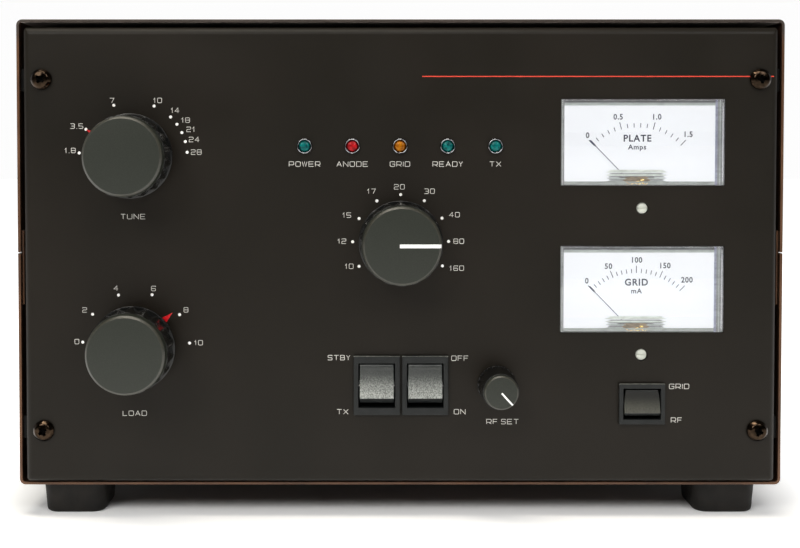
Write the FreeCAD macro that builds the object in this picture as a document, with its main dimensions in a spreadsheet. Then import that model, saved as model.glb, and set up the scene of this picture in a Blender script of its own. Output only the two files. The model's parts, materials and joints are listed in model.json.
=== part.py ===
import FreeCAD, Part
import math
import operator
import os

import Sketcher
from FreeCAD import Rotation, Vector

# A bench-top HF linear amplifier with two power tubes and manual tuning.
# Millimetres, +Z up, front towards -Y.
# The origin is on the surface that the feet stand on, midway between the two sides and between the foremost
# knob cap and the end of the ground stud. Rises are heights above the underside of the case, drops are depths
# below its top, and an inset is a distance in from a side of the case.

SIZES = {
    # wrap-around case
    "case_width": 410.0,
    "case_height": 250.0,
    "case_depth": 390.0,
    "cover_sheet": 1.6,
    "cover_bend": 1.6,
    "seam_rise": 125.0,
    "seam_gap": 0.4,
    "lip_sheet": 1.2,
    "lip_up": 12.0,
    "lip_down": 28.0,
    "lip_front": 2.5,
    "lip_setback": 12.0,
    "vent_width": 3.6,
    "vent_long": 52.0,
    "vent_spacing": 9.0,
    "vent_count": 11,
    "vent_inset": 90.0,
    "vent_from_rear": 95.0,
    "side_vent_long": 40.0,
    "side_vent_count": 6,
    "side_vent_rise": 62.0,
    # feet
    "foot_height": 17.0,
    "foot_wide": 35.2,
    "foot_corner": 6.0,
    "foot_taper": 7.5,
    "foot_edge": 2.0,
    "foot_recess_radius": 8.0,
    "foot_recess_deep": 9.0,
    "foot_inset": 28.0,
    "foot_setback": 22.0,
    "side_screw_setback": 31.0,
    # front panel
    "panel_side_gap": 4.5,
    "panel_top_gap": 4.6,
    "panel_rise": 2.7,
    "panel_proud": 5.0,
    "panel_deep": 8.0,
    "panel_skin": 3.0,
    "panel_wall": 3.0,
    "panel_corner": 1.6,
    "panel_edge": 4.2,
    # screws
    "screw_inset": 14.7,
    "screw_rise": 30.6,
    "screw_drop": 32.2,
    "screw_radius": 2.5,
    "screw_head_radius": 5.6,
    "screw_head_high": 3.6,
    "screw_reach": 14.0,
    "small_screw_radius": 2.0,
    "small_head_radius": 3.8,
    "small_head_high": 1.8,
    "small_screw_reach": 6.0,
    # corner rails
    "rail_wide": 19.0,
    "rail_thick": 12.0,
    # rear panel
    "rear_sheet": 2.0,
    "rear_recess": 3.0,
    "rear_gap": 0.3,
    # chassis deck, partition and air box
    "deck_sheet": 2.0,
    "deck_rise": 22.0,
    "deck_flange": 22.0,
    "partition_inset": 159.0,
    "partition_high": 150.0,
    "partition_setback": 62.0,
    "air_box_high": 62.0,
    "air_box_long": 118.0,
    "air_box_from_rear": 82.0,
    # large knobs
    "knob_long": 23.0,
    "knob_flange_radius": 22.3,
    "knob_flange_thick": 2.0,
    "knob_base_radius": 21.9,
    "knob_front_radius": 21.2,
    "knob_cap_radius": 20.7,
    "knob_cap_thick": 2.4,
    "knob_cap_bevel": 0.8,
    "knob_socket_radius": 9.0,
    "knob_socket_deep": 5.0,
    "knob_back_radius": 12.0,
    "knob_back_deep": 4.0,
    "flute_radius": 4.4,
    "flute_deep": 1.0,
    "flute_count": 18,
    "spindle_radius": 3.0,
    "bore_gap": 0.05,
    # where the controls are
    "tune_inset": 63.1,
    "tune_above_load": 101.0,
    "load_inset": 64.1,
    "load_rise": 76.2,
    "tuning_knob_stand": 8.0,
    "band_rise": 131.2,
    "band_knob_stand": 1.0,
    "band_angle": 90.0,
    # pointer discs and ball drives
    "tune_pointer_angle": -59.5,
    "load_pointer_angle": 48.0,
    "pointer_reach": 27.3,
    "pointer_disc_radius": 15.0,
    "pointer_thick": 1.2,
    "pointer_stand": 4.4,
    "pointer_root": 4.2,
    "sleeve_radius": 4.75,
    "sleeve_long": 20.0,
    "drive_radius": 13.0,
    "drive_long": 11.0,
    "drive_flange_radius": 17.0,
    "drive_flange_thick": 2.0,
    "drive_bush_radius": 6.2,
    "drive_bush_proud": 3.4,
    # tuning capacitors
    "plate_radius": 25.0,
    "plate_thick": 1.2,
    "plate_spacing": 8.0,
    "rotor_plates": 6,
    "capacitor_stand": 24.0,
    "frame_half": 30.0,
    "frame_thick": 2.5,
    "tie_radius": 2.6,
    "tie_spread": 26.0,
    "rotor_hub_radius": 5.0,
    "stator_notch_radius": 7.0,
    # band switch
    "switch_bush_radius": 4.7,
    "switch_plate": 44.0,
    "switch_plate_thick": 8.0,
    "wafer_wide": 58.0,
    "wafer_high": 46.0,
    "wafer_thick": 3.2,
    "wafer_hole_radius": 12.0,
    "wafer_rotor_radius": 11.6,
    "wafer_first": 34.0,
    "wafer_spacing": 30.0,
    "wafer_count": 3,
    "wafer_tie_spread": 25.0,
    "wafer_tie_radius": 1.6,
    # drive level control
    "rf_set_x": 51.2,
    "rf_set_rise": 55.5,
    "rf_set_angle": 137.5,
    "rf_knob_long": 22.0,
    "rf_knob_base_radius": 10.3,
    "rf_knob_front_radius": 9.2,
    "rf_flute_radius": 1.6,
    "rf_flute_deep": 0.55,
    "rf_flute_count": 14,
    "rf_knob_stand": 1.0,
    "rf_cap_radius": 8.7,
    "rf_cap_thick": 1.4,
    "pot_radius": 12.0,
    "pot_long": 13.0,
    "pot_bush_radius": 3.6,
    # panel lamps
    "lamp_above_band": 51.2,
    "lamp_spacing": 25.3,
    "lamp_shift": -0.4,
    "lamp_bezel_radius": 4.1,
    "lamp_barrel_radius": 3.7,
    "lamp_lens_radius": 3.2,
    "lamp_bezel_proud": 1.7,
    "lamp_lens_proud": 2.6,
    "lamp_dome_radius": 6.1,
    "lamp_long": 7.0,
    # meters
    "meter_inset": 76.5,
    "grid_meter_rise": 106.2,
    "meter_spacing": 78.2,
    "window_wide": 86.4,
    "window_high": 45.6,
    "window_proud": 1.0,
    "window_wall": 2.0,
    "window_side": 1.6,
    "window_slot": 34.0,
    "window_slot_back": 3.0,
    "hump_radius": 21.7,
    "hump_high": 6.5,
    "hump_thick": 1.2,
    "dial_thick": 0.8,
    "dial_setback": 7.0,
    "meter_wall": 2.6,
    "meter_front_wall": 1.0,
    "meter_deep": 34.0,
    "meter_skirt": 18.6,
    "meter_post_radius": 2.5,
    "meter_post_spread": 34.0,
    "movement_radius": 14.0,
    "movement_long": 15.0,
    "pivot_shift": -1.5,
    "pivot_below": 24.8,
    "pivot_radius": 1.2,
    "needle_reach": 36.4,
    "needle_wide": 0.6,
    "needle_thick": 0.4,
    "needle_tail": 6.0,
    "needle_setback": 4.6,
    "needle_hub_radius": 3.0,
    "needle_hub_thick": 1.0,
    "needle_angle": -44.5,
    "zero_below": 35.0,
    "zero_hole_radius": 3.3,
    "zero_head_radius": 3.0,
    "zero_setback": 1.2,
    "zero_head_thick": 1.6,
    "zero_shank_radius": 1.4,
    "zero_slot": 0.8,
    # tall rocker switches
    "tall_rise": 55.1,
    "standby_x": -12.7,
    "power_x": 13.1,
    "tall_bezel_wide": 24.6,
    "tall_bezel_high": 31.6,
    "tall_opening_wide": 19.4,
    "tall_opening_high": 23.6,
    "tall_rocker_wide": 18.0,
    "tall_rocker_half": 10.1,
    "tall_pivot_deep": 8.0,
    "tall_hollow": 1.8,
    "tall_pivot_setback": 4.7,
    "tall_tilt": 10.0,
    # meter selector
    "selector_rise": 45.2,
    "low_bezel_wide": 24.4,
    "low_bezel_high": 21.8,
    "low_opening_wide": 19.9,
    "low_opening_high": 16.4,
    "low_rocker_wide": 19.0,
    "low_rocker_half": 6.9,
    "low_pivot_deep": 6.0,
    "low_hollow": 0.9,
    "low_pivot_setback": 3.4,
    "low_tilt": 8.0,
    # both kinds of rocker switch
    "bezel_proud": 2.2,
    "bezel_ledge": 1.4,
    "switch_deep": 22.0,
    "switch_floor": 7.0,
    "rocker_pin_radius": 1.4,
    "rocker_pin_bite": 0.8,
    "blade_wide": 6.3,
    "blade_thick": 0.8,
    "blade_long": 9.0,
    "blade_spacing": 10.0,
    # panel cut-outs around what passes through them
    "cutout_gap": 0.2,
    # mains transformer
    "transformer_inset": 84.0,
    "transformer_from_rear": 88.0,
    "core_wide": 114.0,
    "core_thick": 66.0,
    "core_high": 112.0,
    "core_limb": 22.0,
    "coil_thick": 100.0,
    "coil_corner": 10.0,
    "foot_plate_wide": 18.0,
    "foot_plate_thick": 3.0,
    # power board
    "board_thick": 1.6,
    "board_wide": 120.0,
    "board_long": 84.0,
    "board_setback": 78.0,
    "board_stand": 12.0,
    "can_radius": 15.0,
    "can_high": 46.0,
    "can_spacing": 38.0,
    # blower
    "blower_inset": 93.0,
    "blower_rise": 66.0,
    "blower_radius": 42.0,
    "blower_long": 52.0,
    "blower_wall": 1.6,
    "blower_mouth_wide": 44.0,
    "blower_motor_radius": 17.0,
    "blower_motor_long": 18.0,
    "impeller_radius": 36.0,
    "impeller_long": 28.0,
    "impeller_hub_radius": 19.5,
    "blade_ring": 7.0,
    "vane_count": 20,
    "vane_thick": 1.0,
    "grille_bar": 3.6,
    "grille_spacing": 8.0,
    # tubes
    "tube_spread": 82.0,
    "tube_inset": 109.0,
    "socket_radius": 29.0,
    "socket_thick": 9.0,
    "socket_flange": 4.0,
    "tube_base_radius": 17.0,
    "tube_ceramic_radius": 20.0,
    "tube_fin_radius": 26.0,
    "tube_core_radius": 15.0,
    "tube_ceramic_high": 26.0,
    "tube_fin_thick": 1.6,
    "tube_fin_spacing": 6.0,
    "tube_fin_count": 5,
    # tank coil
    "coil_setback": 100.0,
    "coil_rise": 150.0,
    "coil_radius": 24.0,
    "coil_strip": 7.0,
    "coil_strip_thick": 1.6,
    "coil_spacing": 9.0,
    "coil_turns": 5,
    "coil_post_radius": 5.0,
    # rear connectors
    "socket_rise": 46.0,
    "input_inset": 219.0,
    "output_inset": 183.0,
    "coax_flange": 25.4,
    "coax_flange_thick": 1.6,
    "coax_radius": 7.94,
    "coax_reach": 13.0,
    "coax_hole_radius": 6.2,
    "coax_centre_radius": 2.0,
    "coax_centre_deep": 8.0,
    "coax_back": 10.0,
    "jack_inset": 147.0,
    "jack_spacing": 24.0,
    "jack_radius": 4.1,
    "jack_reach": 9.0,
    "jack_nut_radius": 6.5,
    "jack_nut_thick": 2.4,
    "jack_bore_radius": 1.6,
    "inlet_inset": 50.0,
    "inlet_rise": 52.0,
    "inlet_wide": 30.0,
    "inlet_high": 26.0,
    "inlet_ledge": 5.0,
    "inlet_ledge_thick": 2.5,
    "inlet_wall": 2.0,
    "inlet_deep": 22.0,
    "inlet_blade_long": 12.0,
    "stud_inset": 93.0,
    "stud_rise": 32.0,
    "stud_radius": 3.0,
    "stud_reach": 22.0,
    "stud_back": 8.0,
    "stud_nut_radius": 5.8,
    "stud_nut_thick": 4.8,
}

doc = FreeCAD.newDocument("LinearAmplifier")
sheet = doc.addObject("Spreadsheet::Sheet", "Sizes")
for row, (alias, number) in enumerate(SIZES.items(), start=1):
    sheet.set("A%d" % row, alias)
    sheet.set("B%d" % row, str(number))
    sheet.setAlias("B%d" % row, alias)
doc.recompute()


class Size:
    """A number that remembers its spreadsheet formula, so that a property can be bound to it."""

    def __init__(self, value, text=None):
        self.value = float(value)
        self.text = text or "(%.6f)" % self.value

    def __float__(self):
        return self.value

    def __add__(self, other):
        return worked(operator.add, self, "+", other)

    def __radd__(self, other):
        return worked(operator.add, other, "+", self)

    def __sub__(self, other):
        return worked(operator.sub, self, "-", other)

    def __rsub__(self, other):
        return worked(operator.sub, other, "-", self)

    def __mul__(self, other):
        return worked(operator.mul, self, "*", other)

    def __rmul__(self, other):
        return worked(operator.mul, other, "*", self)

    def __truediv__(self, other):
        return worked(operator.truediv, self, "/", other)

    def __neg__(self):
        return worked(operator.sub, 0, "-", self)


def worked(rule, left, sign, right):
    left = left if isinstance(left, Size) else Size(left)
    right = right if isinstance(right, Size) else Size(right)
    return Size(rule(left.value, right.value), "(%s %s %s)" % (left.text, sign, right.text))


def root(size):
    return Size(size.value**0.5, "sqrt(%s)" % size.text)


class Named:
    """Every alias of the sheet as a Size: S.case_width and so on."""

    def __getattr__(self, alias):
        return Size(getattr(sheet, alias), "Sizes." + alias)


S = Named()


# ---- worked-out planes and lines, from the driving sizes

base_z = S.foot_height
top_z = base_z + S.case_height
half_width = S.case_width / 2
inner_x = half_width - S.cover_sheet
knob_reach = S.tuning_knob_stand + S.knob_long
rear_reach = S.stud_reach - S.rear_recess
front_y = (S.panel_proud + knob_reach - rear_reach - S.case_depth) / 2
rear_y = front_y + S.case_depth
face_y = front_y - S.panel_proud
skin_y = face_y + S.panel_skin
rail_y = face_y + S.panel_deep
rear_face_y = rear_y - S.rear_recess
rear_inner_y = rear_face_y - S.rear_sheet
deck_z = base_z + S.deck_rise
deck_top_z = deck_z + S.deck_sheet
air_box_top_z = deck_top_z + S.air_box_high
air_box_rear_y = rear_y - S.air_box_from_rear
air_box_front_y = air_box_rear_y - S.air_box_long
panel_width = (half_width - S.panel_side_gap) * 2
panel_height = S.case_height - S.panel_rise - S.panel_top_gap
screw_x = half_width - S.screw_inset
screw_low_z = base_z + S.screw_rise
screw_high_z = top_z - S.screw_drop
rail_inner_x = inner_x - S.rail_wide
partition_x = half_width - S.partition_inset
meter_x = half_width - S.meter_inset
blower_x = S.blower_inset - half_width
tube_x = S.tube_inset - half_width
input_x = half_width - S.input_inset
output_x = half_width - S.output_inset
jack_x = half_width - S.jack_inset
stud_x = half_width - S.stud_inset
inlet_x = half_width - S.inlet_inset
CONTROLS = {
    "tune": (-half_width + S.tune_inset, base_z + S.load_rise + S.tune_above_load),
    "load": (-half_width + S.load_inset, base_z + S.load_rise),
    "band": (0, base_z + S.band_rise),
    "rf_set": (S.rf_set_x, base_z + S.rf_set_rise),
}
METERS = {
    "plate_meter": base_z + S.grid_meter_rise + S.meter_spacing,
    "grid_meter": base_z + S.grid_meter_rise,
}
coil_x = (CONTROLS["tune"][0] + S.frame_half - S.wafer_wide / 2) / 2
LAMPS = {
    "power": -2,
    "anode": -1,
    "grid": 0,
    "ready": 1,
    "transmit": 2,
}
lamp_z = base_z + S.band_rise + S.lamp_above_band

# ---- small helpers that draw and bind


def bind(thing, path, size):
    """Ties one property or constraint to the sheet. A plain number is only set by whoever made the thing."""
    if isinstance(size, Size):
        thing.setExpression(path, size.text)


def put(thing, x=0, y=0, z=0, axis=None, angle=0):
    """Places an object, turned about one axis through its own origin."""
    turn = Rotation(Vector(*axis), float(angle)) if axis else Rotation()
    thing.Placement = FreeCAD.Placement(Vector(float(x), float(y), float(z)), turn)
    for path, size in (("x", x), ("y", y), ("z", z)):
        bind(thing, "Placement.Base." + path, size)
    if axis:
        bind(thing, "Placement.Rotation.Angle", angle)
    return thing


def named(kind, label):
    thing = doc.addObject(kind, label)
    thing.Label = label
    return thing


def origin_part(body, role):
    return next(f for f in body.Origin.OriginFeatures if f.Role == role)


def sketch_on(body, role, ahead=0):
    """A sketch on one of the body's own planes, moved along the plane's normal."""
    sketch = body.newObject("Sketcher::SketchObject", "Sketch")
    sketch.AttachmentSupport = [(origin_part(body, role), "")]
    sketch.MapMode = "FlatFace"
    sketch.AttachmentOffset.Base = Vector(0, 0, float(ahead))
    bind(sketch, "AttachmentOffset.Base.z", ahead)
    return sketch


def dimension(sketch, kind, geometry, corner, size):
    where = (geometry,) if corner is None else (geometry, corner)
    index = sketch.addConstraint(Sketcher.Constraint(kind, *where, float(size)))
    bind(sketch, "Constraints[%d]" % index, size)


def pin(sketch, geometry, corner, point):
    dimension(sketch, "DistanceX", geometry, corner, point[0])
    dimension(sketch, "DistanceY", geometry, corner, point[1])


def outline(sketch, points):
    """A closed outline of straight lines, with every corner tied to its two sizes."""
    flat = [Vector(float(x), float(y), 0) for x, y in points]
    lines = [
        sketch.addGeometry(Part.LineSegment(start, end), False)
        for start, end in zip(flat, flat[1:] + flat[:1])
    ]
    for line, following in zip(lines, lines[1:] + lines[:1]):
        sketch.addConstraint(Sketcher.Constraint("Coincident", line, 2, following, 1))
    for line, point in zip(lines, points):
        pin(sketch, line, 1, point)


def rectangle(sketch, x, y, wide, high):
    """A rectangle about its middle."""
    left, right = x - wide / 2, x + wide / 2
    low, top = y - high / 2, y + high / 2
    outline(sketch, [(left, low), (right, low), (right, top), (left, top)])


def circle(sketch, x, y, radius):
    shape = Part.Circle(Vector(float(x), float(y), 0), Vector(0, 0, 1), float(radius))
    ring = sketch.addGeometry(shape, False)
    pin(sketch, ring, 3, (x, y))
    dimension(sketch, "Radius", ring, None, radius)


def upright_slot(sketch, x, y, wide, long):
    """A slot with round ends, long along the sketch's own Y."""
    half, reach = wide / 2, (long - wide) / 2
    ends = [(x, y + reach), (x, y - reach)]
    arcs = []
    for (cx, cy), start in zip(ends, (0, math.pi)):
        ring = Part.Circle(Vector(float(cx), float(cy), 0), Vector(0, 0, 1), float(half))
        arcs.append(sketch.addGeometry(Part.ArcOfCircle(ring, start, start + math.pi), False))
    left = [Vector(float(x - half), float(y + reach), 0), Vector(float(x - half), float(y - reach), 0)]
    right = [Vector(float(x + half), float(y - reach), 0), Vector(float(x + half), float(y + reach), 0)]
    sides = [sketch.addGeometry(Part.LineSegment(*pair), False) for pair in (left, right)]
    joins = [(arcs[0], sides[0]), (sides[0], arcs[1]), (arcs[1], sides[1]), (sides[1], arcs[0])]
    for first, second in joins:
        sketch.addConstraint(Sketcher.Constraint("Tangent", first, 2, second, 1))
    for arc, centre in zip(arcs, ends):
        pin(sketch, arc, 3, centre)
    dimension(sketch, "Radius", arcs[0], None, half)


def start_body(label, x=0, y=0, z=0, axis=None, angle=0):
    return put(named("PartDesign::Body", label), x, y, z, axis, angle)


def pad(body, sketch, length, backwards=False, both_ways=False):
    feature = body.newObject("PartDesign::Pad", "Pad")
    feature.Profile = sketch
    feature.Length = float(length)
    feature.Reversed = backwards
    feature.Midplane = both_ways
    bind(feature, "Length", length)
    return feature


def pocket(body, sketch, length, backwards=False):
    """Cuts against the sketch's normal, or along it where backwards."""
    feature = body.newObject("PartDesign::Pocket", "Pocket")
    feature.Profile = sketch
    feature.Length = float(length)
    feature.Reversed = backwards
    bind(feature, "Length", length)
    return feature


def pocket_both_ways(body, sketch):
    feature = body.newObject("PartDesign::Pocket", "Pocket")
    feature.Profile = sketch
    feature.Type = "ThroughAll"
    feature.Midplane = True
    return feature


def turn(body, sketch):
    """Revolves a sketch of (radius, y) about the body's Y axis."""
    feature = body.newObject("PartDesign::Revolution", "Revolution")
    feature.Profile = sketch
    feature.ReferenceAxis = (sketch, ["V_Axis"])
    feature.Angle = 360
    return feature


def row_of(body, feature, role, length, count):
    pattern = body.newObject("PartDesign::LinearPattern", "Row")
    pattern.Originals = [feature]
    pattern.Direction = (origin_part(body, role), [""])
    pattern.Length = float(length)
    pattern.Occurrences = int(float(count))
    bind(pattern, "Length", length)
    bind(pattern, "Occurrences", count)
    body.Tip = pattern
    return pattern


def ring_of(body, feature, count):
    pattern = body.newObject("PartDesign::PolarPattern", "Ring")
    pattern.Originals = [feature]
    pattern.Axis = (origin_part(body, "Y_Axis"), [""])
    pattern.Angle = 360
    pattern.Occurrences = int(float(count))
    bind(pattern, "Occurrences", count)
    body.Tip = pattern
    return pattern


def round_edges(body, base, radius, chosen):
    """A fillet on those edges of a feature that the test picks."""
    doc.recompute()
    edges = ["Edge%d" % n for n, edge in enumerate(base.Shape.Edges, start=1) if chosen(edge)]
    feature = body.newObject("PartDesign::Fillet", "Fillet")
    feature.Base = (base, edges)
    feature.Radius = float(radius)
    bind(feature, "Radius", radius)
    return feature


def taper_sides(body, base, angle):
    """Leans every upright face of a feature inwards, away from the body's own XY plane."""
    doc.recompute()
    sides = []
    for n, face in enumerate(base.Shape.Faces, start=1):
        if abs(face.normalAt(0, 0).z) < 0.01:
            sides.append("Face%d" % n)
    feature = body.newObject("PartDesign::Draft", "Draft")
    feature.Base = (base, sides)
    feature.NeutralPlane = (origin_part(body, "XY_Plane"), [""])
    feature.Angle = float(angle)
    feature.Reversed = True
    bind(feature, "Angle", angle)
    return feature


def turned(label, points, x=0, y=0, z=0, axis=None, angle=0):
    """A body turned about its own Y axis from a closed outline of (radius, y) corners."""
    body = start_body(label, x, y, z, axis, angle)
    sketch = sketch_on(body, "XY_Plane")
    outline(sketch, points)
    turn(body, sketch)
    return body


def along(edge, direction):
    """Whether an edge is straight and runs along the direction."""
    if edge.Curve.TypeId != "Part::GeomLine":
        return False
    return abs(abs(edge.tangentAt(edge.FirstParameter).dot(Vector(*direction))) - 1) < 1e-6


def block(x, y, z, wide, deep, high):
    """A box from its low corner."""
    thing = doc.addObject("Part::Box", "Block")
    for path, size in (("Length", wide), ("Width", deep), ("Height", high)):
        setattr(thing, path, float(size))
        bind(thing, path, size)
    return put(thing, x, y, z)


def middle_block(x, y, z, wide, deep, high):
    """A box about its middle in X and Z, from its low Y."""
    return block(x - wide / 2, y, z - high / 2, wide, deep, high)


TURNS = {"x": ((0, 1, 0), 90), "y": ((1, 0, 0), -90), "z": None}


def rod(direction, x, y, z, radius, length):
    """A round bar along +X, +Y or +Z from its low end."""
    thing = doc.addObject("Part::Cylinder", "Rod")
    thing.Radius = float(radius)
    thing.Height = float(length)
    bind(thing, "Radius", radius)
    bind(thing, "Height", length)
    axis, angle = TURNS[direction] or (None, 0)
    return put(thing, x, y, z, axis, angle)


def dome(direction, x, y, z, foot, top, high):
    """A cone frustum along +X, +Y or +Z from its low end."""
    thing = doc.addObject("Part::Cone", "Cone")
    thing.Radius1 = float(foot)
    thing.Radius2 = float(top)
    thing.Height = float(high)
    for path, size in (("Radius1", foot), ("Radius2", top), ("Height", high)):
        bind(thing, path, size)
    axis, angle = TURNS[direction] or (None, 0)
    return put(thing, x, y, z, axis, angle)


def fused(things, label="Union"):
    whole = named("Part::MultiFuse", label)
    whole.Shapes = things
    return whole


def cut_by(thing, tools, label="Cut"):
    rest = named("Part::Cut", label)
    rest.Base = thing
    rest.Tool = tools[0] if len(tools) == 1 else fused(tools)
    return rest


def group(things, label):
    """Separate solids that share one node."""
    whole = named("Part::Compound", label)
    whole.Links = things
    return whole


# ---- the case


def bottom_cover():
    """Lower U of the wrap: floor and two half-height sides, with foot holes, side vents and screw holes."""
    body = start_body("bottom_cover", 0, front_y, base_z)
    section = sketch_on(body, "XZ_Plane")
    outline(
        section,
        [
            (-half_width, S.seam_rise),
            (-half_width, 0),
            (half_width, 0),
            (half_width, S.seam_rise),
            (inner_x, S.seam_rise),
            (inner_x, S.cover_sheet),
            (-inner_x, S.cover_sheet),
            (-inner_x, S.seam_rise),
        ],
    )
    shell = pad(body, section, S.case_depth, backwards=True)
    bend_corners(body, shell, 0, S.cover_sheet)
    feet = sketch_on(body, "XY_Plane")
    for side in (-1, 1):
        for y in foot_ys():
            circle(feet, side * (half_width - S.foot_inset), y, S.small_screw_radius + S.cutout_gap)
    pocket(body, feet, S.cover_sheet * 2, backwards=True)
    holes = sketch_on(body, "YZ_Plane")
    for y in side_screw_ys():
        circle(holes, y, S.seam_rise - S.lip_down / 2, S.small_screw_radius + S.cutout_gap)
        circle(holes, y, S.screw_rise, S.small_screw_radius + S.cutout_gap)
    pocket_both_ways(body, holes)
    vents = sketch_on(body, "YZ_Plane")
    first = S.case_depth - S.vent_from_rear - S.vent_spacing * (S.side_vent_count - 1) / 2
    upright_slot(vents, first, S.side_vent_rise, S.vent_width, S.side_vent_long)
    opening = pocket_both_ways(body, vents)
    row_of(body, opening, "Y_Axis", S.vent_spacing * (S.side_vent_count - 1), S.side_vent_count)
    return body


def top_cover():
    """Upper U of the wrap, with two banks of vents in its top and a joining strip inside each side."""
    body = start_body("top_cover", 0, front_y, base_z)
    low = S.seam_rise + S.seam_gap
    under = S.case_height - S.cover_sheet
    section = sketch_on(body, "XZ_Plane")
    outline(
        section,
        [
            (-half_width, low),
            (-inner_x, low),
            (-inner_x, under),
            (inner_x, under),
            (inner_x, low),
            (half_width, low),
            (half_width, S.case_height),
            (-half_width, S.case_height),
        ],
    )
    shell = pad(body, section, S.case_depth, backwards=True)
    bend_corners(body, shell, S.case_height, under)
    strips = sketch_on(body, "XZ_Plane", -S.lip_front)
    strip_middle = S.seam_rise + (S.lip_up - S.lip_down) / 2
    for side in (-1, 1):
        x = side * (inner_x - S.lip_sheet / 2)
        rectangle(strips, x, strip_middle, S.lip_sheet, S.lip_up + S.lip_down)
    pad(body, strips, S.case_depth - S.lip_front - S.lip_setback, backwards=True)
    for side in (-1, 1):
        vents = sketch_on(body, "XY_Plane", S.case_height)
        spread = S.vent_spacing * (S.vent_count - 1)
        middle = side * (half_width - S.vent_inset)
        upright_slot(vents, middle - spread / 2, S.case_depth - S.vent_from_rear, S.vent_width, S.vent_long)
        opening = pocket(body, vents, S.cover_sheet * 2)
        row_of(body, opening, "X_Axis", spread, S.vent_count)
    holes = sketch_on(body, "YZ_Plane")
    for y in side_screw_ys():
        circle(holes, y, S.case_height - S.screw_drop, S.small_screw_radius + S.cutout_gap)
        circle(holes, y, S.seam_rise - S.lip_down / 2, S.small_screw_radius + S.bore_gap)
    pocket_both_ways(body, holes)
    return body


def bend_corners(body, shell, outside, inside):
    """Rounds the two bends of a U: its outer edges lie at one height and its inner edges at another."""

    def corner(edge, x, z):
        middle = edge.CenterOfMass
        there = abs(middle.z - float(z)) < 0.01 and abs(abs(middle.x) - float(x)) < 0.01
        return there and along(edge, (0, 1, 0))

    radius = S.cover_sheet + S.cover_bend
    outer = round_edges(body, shell, radius, lambda e: corner(e, half_width, outside))
    round_edges(body, outer, S.cover_bend, lambda e: corner(e, inner_x, inside))


def side_screw_ys():
    """How far behind the front rim the side screws are."""
    return (S.side_screw_setback, S.case_depth - S.side_screw_setback)


def foot_ys():
    """How far behind the front rim the feet are."""
    return (S.foot_setback, S.case_depth - S.foot_setback)


def feet():
    """Four moulded rubber feet, tapered rounded squares with a screw recess underneath."""
    made = []
    for side in (-1, 1):
        for y in foot_ys():
            foot = start_body("foot", side * (half_width - S.foot_inset), front_y + y, base_z)
            top = sketch_on(foot, "XY_Plane")
            rectangle(top, Size(0), Size(0), S.foot_wide, S.foot_wide)
            block_down = pad(foot, top, S.foot_height, backwards=True)
            rounded = round_edges(foot, block_down, S.foot_corner, lambda e: along(e, (0, 0, 1)))
            tapered = taper_sides(foot, rounded, S.foot_taper)
            round_edges(foot, tapered, S.foot_edge, lambda e: e.BoundBox.ZMax + float(S.foot_height) < 0.01)
            hole = sketch_on(foot, "XY_Plane")
            circle(hole, Size(0), Size(0), S.small_screw_radius + S.cutout_gap)
            pocket(foot, hole, S.foot_height * 2)
            recess = sketch_on(foot, "XY_Plane", -S.foot_height)
            circle(recess, Size(0), Size(0), S.foot_recess_radius)
            pocket(foot, recess, S.foot_recess_deep, backwards=True)
            made.append(foot)
    return group(made, "feet")


def screw(direction, towards, x, y, z, shank, reach, head, high):
    """A pan-head screw: the head stands off the point, backwards (-1) or forwards (1) along the direction."""
    step = {"x": (1, 0, 0), "y": (0, 1, 0), "z": (0, 0, 1)}[direction]

    def at(offset):
        return [c + offset * s if s else c for c, s in zip((x, y, z), step)]

    crown = high * 0.45
    rim = high - crown
    if towards < 0:
        pieces = [
            dome(direction, *at(-high), head * 0.72, head, crown),
            rod(direction, *at(-rim), head, rim),
            rod(direction, *at(0), shank, reach),
        ]
    else:
        pieces = [
            dome(direction, *at(rim), head, head * 0.72, crown),
            rod(direction, *at(0), head, rim),
            rod(direction, *at(-reach), shank, reach),
        ]
    return fused(pieces)


def panel_screws():
    """Four pan-head screws through the front panel's corners into the rails."""
    made = []
    for side in (-1, 1):
        for z in (screw_low_z, screw_high_z):
            made.append(
                screw(
                    "y",
                    -1,
                    side * screw_x,
                    face_y,
                    z,
                    S.screw_radius,
                    S.panel_deep + S.screw_reach,
                    S.screw_head_radius,
                    S.screw_head_high,
                )
            )
    return group(made, "panel_screws")


def case_screws():
    """The small pan-head screws: through the rear panel and both covers' sides, and up through the feet."""
    small = (S.small_screw_radius, S.small_screw_reach, S.small_head_radius, S.small_head_high)
    made = []
    for side in (-1, 1):
        for z in (screw_low_z, screw_high_z):
            made.append(screw("y", 1, side * screw_x, rear_face_y, z, *small))
        for y in side_screw_ys():
            for z in (screw_low_z, base_z + S.seam_rise - S.lip_down / 2, screw_high_z):
                made.append(screw("x", side, side * half_width, front_y + y, z, *small))
    for side in (-1, 1):
        for y in foot_ys():
            x = side * (half_width - S.foot_inset)
            reach = S.foot_height - S.foot_recess_deep + S.small_screw_reach
            sizes = (S.small_screw_radius, reach, S.small_head_radius, S.small_head_high)
            made.append(screw("z", -1, x, front_y + y, S.foot_recess_deep, *sizes))
    return group(made, "case_screws")


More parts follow.
